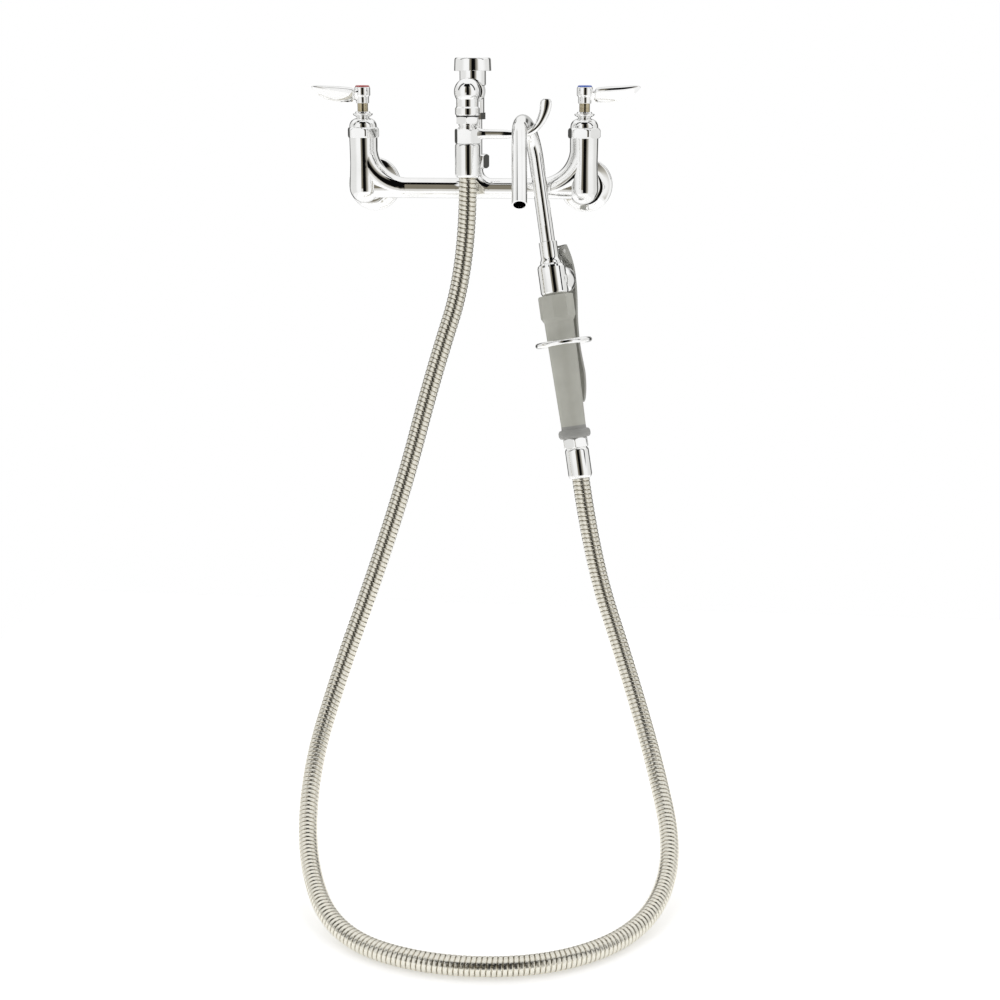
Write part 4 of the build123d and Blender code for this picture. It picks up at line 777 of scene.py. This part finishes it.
@dataclass(frozen=True)
class ValveLever:
    """Cast lever handle: a pointed blade on a turned hub.

    The blade's sections are (reach, half width, top, bottom) in millimetres. Each
    section is flat on top and narrows to a keel below its widest place.
    """

    side: str
    body: Body
    place_x: float
    heading: float
    widest: float = 0.8
    top_power: float = 0.85
    keel_power: float = 1.7
    steps: int = 5
    sides: int = 32
    hub: Corners = (
        (4.0, 75.8, 0), (5.9, 75.8, 0.5), (6.0, 81.6, 0.6), (7.2, 82.9, 0.6), (7.2, 89.6, 0.6),
        (6.5, 90.3, 0.3), (4.9, 90.3, 0), (4.9, 86.2, 0), (4.0, 86.2, 0),
    )
    blade: tuple[tuple[float, float, float, float], ...] = (
        (5.6, 4.2, 88.4, 77.8), (7.6, 3.4, 87.4, 78.8), (9.0, 3.3, 87.3, 78.9),
        (10.6, 4.7, 89.3, 77.2), (16.0, 5.2, 90.2, 76.9), (24.0, 5.2, 90.8, 77.2),
        (32.0, 4.7, 91.1, 78.4), (39.0, 3.9, 91.4, 80.7), (44.5, 2.9, 91.6, 83.9),
        (48.0, 1.9, 91.4, 87.0), (49.5, 0.9, 91.0, 88.8), (49.9, 0.3, 90.5, 89.8),
    )

    def place_blade(self, rows: Sequence[Sequence[float]], vertex: bmesh.types.BMVert,
                    row: int, share: float) -> None:
        """Put one vertex of the blade in its place, with the lever pointing along X.

        Args:
            rows: (reach, half width, top, bottom) of each section.
            vertex: vertex to place.
            row: number of its section.
            share: its share of the turn round the section.
        """
        angle = math.tau * share
        reach, half_width, top, bottom = rows[row]
        power = self.top_power if math.sin(angle) > 0 else self.keel_power
        around = math.copysign(abs(math.cos(angle)) ** power, math.cos(angle))
        upward = math.copysign(abs(math.sin(angle)) ** power, math.sin(angle))
        middle = bottom + (top - bottom) * self.widest
        height = (top - middle if upward > 0 else middle - bottom) * upward
        vertex.co = Vector((reach, half_width * around, middle + height)) * MM

    def build(self, finishes: Finishes) -> None:
        """Make the hub and the blade in place of the lever node.

        Args:
            finishes: finishes of the faucet.
        """
        turned = Matrix.Rotation(math.radians(self.heading), 4, "Z")
        place = upright(self.place_x, AXIS_Y) @ turned
        hub = bmesh.new()
        spun(hub, eased(self.hub))
        blade = bmesh.new()
        rows = through(self.blade, self.steps)
        wrapped(blade, len(rows) - 1, self.sides, partial(self.place_blade, rows))
        for mesh, part in ((hub, "hub"), (blade, "blade")):
            bmesh.ops.transform(mesh, matrix=place, verts=mesh.verts)
            piece = finish_mesh(mesh, f"{self.side}_lever_{part}", self.body)
            finishes.dress(piece, "polished_chrome")
            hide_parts(f"{self.side}_lever")


@dataclass(frozen=True)
class NozzleHook:
    """Hexagonal hub with an arm that ends in a broad upturned horn.

    The arm's sections are (X, Z, half width in the plane of its bend, half thickness)
    in millimetres.
    """

    steps: int = 6
    sides: int = 32
    hub: Corners = (
        (7.0, 41.9, 0), (10.8, 41.9, 0.5), (12.2, 43.2, 0.8), (12.2, 53.3, 0.8),
        (10.8, 54.6, 0.5), (7.0, 54.6, 0),
    )
    hub_flats: Flats = Flats(6, 21.0, 41.9, 54.6, WRENCHED)
    spine: tuple[tuple[float, float, float, float], ...] = (
        (9.0, 50.1, 5.8, 5.6), (11.6, 50.1, 4.9, 4.8), (14.5, 50.1, 4.3, 4.2),
        (20.0, 50.1, 4.1, 4.0), (33.0, 50.1, 3.8, 3.7), (40.0, 50.1, 3.17, 3.17),
        (50.0, 50.4, 3.17, 3.17), (56.5, 52.6, 3.17, 3.17), (62.0, 57.2, 3.4, 3.1),
        (66.0, 63.4, 4.0, 3.0), (68.5, 70.0, 4.7, 2.7), (69.4, 75.4, 5.1, 2.3),
        (69.5, 78.6, 4.6, 1.9), (69.4, 80.3, 3.0, 1.3), (69.4, 80.9, 0.6, 0.4),
    )

    def place_arm(self, rows: Sequence[Sequence[float]], vertex: bmesh.types.BMVert,
                  row: int, share: float) -> None:
        """Put one vertex of the arm in its place.

        Args:
            rows: (X, Z, half width, half thickness) of each section.
            vertex: vertex to place.
            row: number of its section.
            share: its share of the turn round the section.
        """
        angle = math.tau * share
        x, z, wide, thick = rows[row]
        after, before = rows[min(row + 1, len(rows) - 1)], rows[max(row - 1, 0)]
        along = Vector((after[0] - before[0], 0, after[1] - before[1])).normalized()
        side = Vector((along.z, 0, -along.x)) * wide * math.cos(angle)
        depth = Vector((0, thick * math.sin(angle), 0))
        vertex.co = (Vector((x, COLUMN_Y, z)) + side + depth) * MM

    def build(self, finishes: Finishes) -> None:
        """Make the hub and the arm in place of the hook node.

        Args:
            finishes: finishes of the faucet.
        """
        hub = bmesh.new()
        spun(hub, eased(self.hub))
        self.hub_flats.cut(hub)
        bmesh.ops.transform(hub, matrix=upright(0.0, COLUMN_Y), verts=hub.verts)
        arm = bmesh.new()
        rows = through(self.spine, self.steps)
        wrapped(arm, len(rows) - 1, self.sides, partial(self.place_arm, rows))
        for mesh, part in ((hub, "hub"), (arm, "arm")):
            piece = finish_mesh(mesh, f"hook_{part}", Body.FAUCET)
            finishes.dress(piece, "polished_chrome")
            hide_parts("nozzle_hook")


# ------------------------------------------------------------------- hose piece


@dataclass(frozen=True)
class RidgedHose:
    """Flexible hose of interlocked metal strip, from the upper to the lower ferrule."""

    outer_radius: float = 8.0 * MM
    seam_depth: float = 0.95 * MM
    pitch: float = 4.05 * MM
    steps_per_pitch: int = 7
    sides: int = 26
    crown_rise: float = 2.1
    crown_roundness: float = 0.9
    real_length: float = 1.452
    route: tuple[tuple[float, float, float], ...] = (
        (0.0, -99.0, 12.5), (0.0, -99.0, -64.5), (-30.0, -124.0, -163.0),
        (-53.0, -147.0, -256.0), (-78.0, -175.0, -339.0), (-106.0, -205.0, -421.0),
        (-123.0, -264.0, -490.0), (-112.0, -342.0, -540.0), (-72.0, -421.0, -560.0),
        (9.0, -457.0, -560.0), (106.0, -447.0, -560.0), (175.0, -388.0, -560.0),
        (199.0, -305.0, -541.0), (180.0, -227.0, -489.0), (152.0, -176.0, -417.0),
        (118.4, -140.5, -329.4), (106.08, -126.24, -255.82),
    )

    def centreline(self) -> list[Vector]:
        """Points of the smooth spline through the route's control points.

        Returns:
            Points close together along the hose, in metres.
        """
        curve = bpy.data.curves.new("hose_route", "CURVE")
        curve.dimensions = "3D"
        curve.resolution_u = 48
        spline = curve.splines.new("NURBS")
        spline.points.add(len(self.route) - 1)
        for point, place in zip(spline.points, self.route):
            point.co = (*(Vector(place) * MM), 1.0)
        spline.order_u = 3
        spline.use_endpoint_u = True
        holder = bpy.data.objects.new("hose_route", curve)
        bpy.context.collection.objects.link(holder)
        bpy.context.view_layer.update()
        line = bpy.data.meshes.new_from_object(holder)
        points = [vertex.co.copy() for vertex in line.vertices]
        bpy.data.objects.remove(holder)
        bpy.data.meshes.remove(line)
        bpy.data.curves.remove(curve)
        return points

    def evenly(self, points: Sequence[Vector], step: float) -> list[Vector]:
        """Points at an even distance along a line.

        Args:
            points: points of the line.
            step: wanted distance between the results.

        Returns:
            The evenly placed points, with both ends kept.
        """
        total = sum((b - a).length for a, b in zip(points, points[1:]))
        count = round(total / step)
        step = total / count
        placed = [points[0].copy()]
        walked = 0.0
        wanted = step
        for start, stop in zip(points, points[1:]):
            run = (stop - start).length
            while run > 0 and wanted <= walked + run and len(placed) < count:
                placed.append(start.lerp(stop, (wanted - walked) / run))
                wanted += step
            walked += run
        placed.append(points[-1].copy())
        return placed

    def crown(self, turn: float) -> float:
        """Height of the strip at one place of its pitch: 0 in the seam, 1 on the crown."""
        place = turn - math.floor(turn)
        return min(1.0, self.crown_rise * math.sin(math.pi * place) ** self.crown_roundness)

    def carried_frames(self, path: Sequence[Vector]) -> list[tuple[Vector, Vector]]:
        """Two directions square to the line at each point, carried along without twist.

        Args:
            path: points of the line.

        Returns:
            The pair of directions of each point.
        """
        tangent = (path[1] - path[0]).normalized()
        across = tangent.orthogonal().normalized()
        frames = []
        for index in range(len(path)):
            ahead = path[min(index + 1, len(path) - 1)] - path[max(index - 1, 0)]
            ahead.normalize()
            across = (tangent.rotation_difference(ahead) @ across).normalized()
            tangent = ahead
            frames.append((across.copy(), tangent.cross(across)))
        return frames

    def build(self, finishes: Finishes) -> None:
        """Args:
            finishes: finishes of the faucet.
        """
        path = self.evenly(self.centreline(), self.pitch / self.steps_per_pitch)
        frames = self.carried_frames(path)
        mesh = bmesh.new()
        height = mesh.verts.layers.float.new("crown_height")

        def place(vertex: bmesh.types.BMVert, row: int, share: float) -> None:
            """Put one vertex on the strip and note how high on it the vertex lies.

            Args:
                vertex: vertex to place.
                row: number of its point of the line.
                share: its share of the turn round the line.
            """
            across, side = frames[row]
            crown = self.crown(row / self.steps_per_pitch + share)
            radius = self.outer_radius - self.seam_depth * (1 - crown)
            outward = across * math.cos(math.tau * share) + side * math.sin(math.tau * share)
            # this height also drives the painted shade of the flanks and seams in the hose finish
            vertex[height] = crown
            vertex.co = path[row] + outward * radius

        wrapped(mesh, len(path) - 1, self.sides, place)
        piece = finish_mesh(mesh, "ridged_hose", None)
        finishes.dress(piece, "ridged_hose")
        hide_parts("hose")
        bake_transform(piece)


# ------------------------------------------------------------------------ studio


WHITE = (1.0, 1.0, 1.0)
BROWN = (0.22, 0.20, 0.155)
BLACK = (0.003, 0.003, 0.003)
RIM_GREY = (0.08, 0.08, 0.075)
SIDE_GREY = (0.82, 0.82, 0.81)
BACK_GREY = (0.55, 0.55, 0.54)
LOW_GREY = (0.72, 0.71, 0.68)

Band = tuple[float, float, float]


class WorldBench:
    """Builds the node tree of the surroundings from sums on directions."""

    def __init__(self) -> None:
        """Start the world of the scene."""
        world = bpy.data.worlds.new("studio")
        bpy.context.scene.world = world
        world.use_nodes = True
        self.nodes = world.node_tree.nodes
        self.links = world.node_tree.links
        self.background = self.nodes["Background"]

    def feed(self, value: object, place: Socket) -> None:
        """Link a socket to an input, or set a constant on it.

        Args:
            value: socket or constant.
            place: the input.
        """
        if isinstance(value, Socket):
            self.links.new(value, place)
        else:
            place.default_value = value

    def direction(self) -> list[Socket]:
        """Take apart the direction that is looked up.

        Returns:
            The sockets of its X, Y and Z.
        """
        place = self.nodes.new("ShaderNodeTexCoord")
        apart = self.nodes.new("ShaderNodeSeparateXYZ")
        self.links.new(place.outputs["Generated"], apart.inputs["Vector"])
        return list(apart.outputs)

    def maths(self, operation: str, *values: object) -> Socket:
        """One Math node.

        Args:
            operation: Blender's name of the operation.
            values: values or sockets, in order.

        Returns:
            The result socket.
        """
        node = self.nodes.new("ShaderNodeMath")
        node.operation = operation
        for place, value in zip(node.inputs, values):
            self.feed(value, place)
        return node.outputs["Value"]

    def band(self, value: Socket, limits: Band) -> Socket:
        """1 between two limits, with soft edges.

        Args:
            value: socket to test.
            limits: lower limit, upper limit and half the width of each edge.

        Returns:
            The socket of the band.
        """
        low, high, soft = limits
        edges = []
        for dark, lit in ((low - soft, low + soft), (high + soft, high - soft)):
            edge = self.nodes.new("ShaderNodeMapRange")
            edge.inputs["From Min"].default_value = dark
            edge.inputs["From Max"].default_value = lit
            self.links.new(value, edge.inputs["Value"])
            edges.append(edge.outputs["Result"])
        return self.maths("MULTIPLY", *edges)

    def ramp(self, angle: Socket, stops: Sequence[tuple[float, Colour]]) -> Socket:
        """Colour ramp over angles from minus pi to pi.

        Args:
            angle: angle to look up, in radians.
            stops: angles and their colours.

        Returns:
            The colour socket.
        """
        node = self.nodes.new("ShaderNodeValToRGB")
        marks = node.color_ramp.elements
        while len(marks) < len(stops):
            marks.new(0.5)
        for mark, (place, colour) in zip(marks, stops):
            mark.position = place / math.tau + 0.5
            mark.color = (*colour, 1)
        self.links.new(self.maths("MULTIPLY_ADD", angle, 1 / math.tau, 0.5), node.inputs["Fac"])
        return node.outputs["Color"]

    def mixed(self, share: Socket, first: object, second: object) -> Socket:
        """Mix two colours.

        Args:
            share: how much of the second colour is used.
            first: first colour or socket.
            second: second colour or socket.

        Returns:
            The mixed colour.
        """
        node = self.nodes.new("ShaderNodeMix")
        node.data_type = "RGBA"
        self.links.new(share, node.inputs["Factor"])
        for place, colour in zip((node.inputs[6], node.inputs[7]), (first, second)):
            self.feed(colour if isinstance(colour, Socket) else (*colour, 1), place)
        return node.outputs[2]


@dataclass(frozen=True)
class Surroundings:
    """White studio walls with the dark gaps that polished metal mirrors.

    Azimuths run from straight in front of the faucet towards +X and elevations from
    level upwards, in radians. A band is its lower limit, its upper limit and half the
    width of its edges.
    """

    strength: float = 1.0
    walls: tuple[tuple[float, Colour], ...] = (
        (-math.pi, BACK_GREY), (-2.80, BACK_GREY), (-2.72, RIM_GREY), (-2.36, RIM_GREY),
        (-2.26, SIDE_GREY), (-1.10, SIDE_GREY), (-0.80, WHITE), (-0.30, WHITE), (-0.22, BROWN),
        (-0.05, BROWN), (-0.035, BLACK), (0.36, BLACK), (0.39, (0.13, 0.12, 0.10)),
        (0.62, (0.5, 0.48, 0.43)), (0.76, WHITE), (1.30, WHITE), (1.70, SIDE_GREY),
        (2.26, SIDE_GREY), (2.36, RIM_GREY), (2.72, RIM_GREY), (2.80, BACK_GREY),
        (math.pi, BACK_GREY),
    )
    wall_heights: Band = (-0.50, 1.20, 0.03)
    rear_from: float = 1.6
    rear_open: Band = (0.45, 2.0, 0.1)
    low_sides: Band = (-0.27, -0.045, 0.01)
    low_heights: Band = (-2.0, -0.13, 0.03)
    arch_angles: Band = (1.22, 1.42, 0.02)
    arch_heights: Band = (0.16, 1.15, 0.03)
    hood_sides: Band = (-0.60, 0.70, 0.04)
    hood_heights: Band = (0.74, 1.19, 0.02)

    def build(self) -> None:
        """Make the world; the camera itself sees plain white."""
        bench = WorldBench()
        maths, band = bench.maths, bench.band
        x, y, z = bench.direction()
        towards = maths("MULTIPLY", y, -1.0)
        azimuth = maths("ARCTAN2", x, towards)
        elevation = maths("ARCSINE", z)
        forward = maths("ARCCOSINE", towards)

        low_part = maths("MULTIPLY", band(azimuth, self.low_sides),
                         band(elevation, self.low_heights))
        walls = bench.mixed(low_part, bench.ramp(azimuth, self.walls), LOW_GREY)
        rear = maths("GREATER_THAN", maths("ABSOLUTE", azimuth), self.rear_from)
        closed = maths("SUBTRACT", 1.0, maths("MULTIPLY", rear, band(elevation, self.rear_open)))
        walled = maths("MULTIPLY", band(elevation, self.wall_heights), closed)
        arch = maths("MULTIPLY", band(forward, self.arch_angles),
                     band(elevation, self.arch_heights))
        hood = maths("MULTIPLY", band(azimuth, self.hood_sides),
                     band(elevation, self.hood_heights))
        colour = bench.mixed(walled, WHITE, walls)
        colour = bench.mixed(maths("MAXIMUM", arch, hood), colour, BLACK)
        seen = bench.nodes.new("ShaderNodeLightPath")
        colour = bench.mixed(seen.outputs["Is Camera Ray"], colour, WHITE)
        bench.feed(colour, bench.background.inputs["Color"])
        bench.background.inputs["Strength"].default_value = self.strength


@dataclass(frozen=True)
class SoftLamp:
    """Square soft lamp that points at the faucet and shows in no reflection."""

    name: str
    place: tuple[float, float, float]
    size: float
    power: float
    aim: tuple[float, float, float] = (0.0, -0.1, -0.1)

    def build(self) -> None:
        """Make the lamp."""
        data = bpy.data.lights.new(self.name, "AREA")
        data.shape = "SQUARE"
        data.size = self.size
        data.energy = self.power
        lamp = bpy.data.objects.new(self.name, data)
        lamp.location = self.place
        way = Vector(self.aim) - Vector(self.place)
        lamp.rotation_euler = way.to_track_quat("-Z", "Y").to_euler()
        lamp.visible_glossy = False
        bpy.context.collection.objects.link(lamp)


@dataclass(frozen=True)
class Studio:
    """Pale floor, soft white surroundings, lamps and the camera."""

    floor_height: float = -0.5684
    floor_middle: float = -0.22
    floor_half_size: float = 0.62
    camera_place: tuple[float, float, float] = (0.16460, -1.47364, 0.09693)
    camera_turn: tuple[float, float, float] = (74.5, 0.0, 5.637)
    lens: float = 54.617
    lamps: tuple[SoftLamp, ...] = (
        SoftLamp("key_lamp", (-0.9, -1.2, 1.6), 1.2, 5.0),
        SoftLamp("fill_lamp", (1.1, -0.9, 1.2), 1.0, 3.0),
    )

    def floor(self) -> None:
        """Make the floor that the hose lies on."""
        mesh = bmesh.new()
        bmesh.ops.create_grid(mesh, x_segments=8, y_segments=8, size=self.floor_half_size)
        bmesh.ops.translate(mesh, verts=mesh.verts, vec=(0, self.floor_middle, self.floor_height))
        data = bpy.data.meshes.new("floor")
        mesh.to_mesh(data)
        mesh.free()
        floor = bpy.data.objects.new("floor", data)
        bpy.context.collection.objects.link(floor)
        bench = NodeBench("pale_floor")
        bench.blend_colours(bench.noise(3.0),
                            [(0.0, (0.93, 0.93, 0.93)), (1.0, (0.96, 0.96, 0.96))])
        bench.set(Roughness=0.9, Specular_IOR_Level=0.1, Emission_Color=(*WHITE, 1),
                  Emission_Strength=0.35)
        data.materials.append(bench.material)

    def camera(self) -> None:
        """Make the camera."""
        data = bpy.data.cameras.new("camera")
        data.lens = self.lens
        data.sensor_width = 36.0
        data.clip_start = 0.01
        data.clip_end = 120.0
        camera = bpy.data.objects.new("camera", data)
        camera.location = self.camera_place
        camera.rotation_euler = tuple(math.radians(turn) for turn in self.camera_turn)
        bpy.context.collection.objects.link(camera)
        bpy.context.scene.camera = camera

    def build(self) -> None:
        """Make everything of the studio."""
        bpy.context.scene.view_settings.view_transform = "Standard"
        self.floor()
        self.camera()
        Surroundings().build()
        for lamp in self.lamps:
            lamp.build()


# -------------------------------------------------------------------------- main


def main() -> None:
    """Load the model, dress its nodes, add the new pieces and set up the studio."""
    logging.basicConfig(level=logging.INFO, format="%(name)s %(message)s")
    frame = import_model()
    finishes = Finishes()
    finishes.build()
    slots = {part["node"]: part["material_slot"] for part in frame["record"]["subparts"]}
    for node, piece in frame["nodes"].items():
        finishes.dress(piece, FINISH_OF_SLOT[slots[node]])
    Studio().build()
    assemblies = [
        WallInlet("hot", -INLET_X),
        WallInlet("cold", INLET_X),
        ValveTop("hot", -INLET_X),
        ValveTop("cold", INLET_X),
        OutletColumn(),
        SprayValve(),
        ValveLever("hot", Body.HOT_LEVER, -INLET_X, 215.0),
        ValveLever("cold", Body.COLD_LEVER, INLET_X, 0.0),
        NozzleHook(),
        RidgedHose(),
    ]
    for assembly in assemblies:
        assembly.build(finishes)


if __name__ == "__main__":
    main()
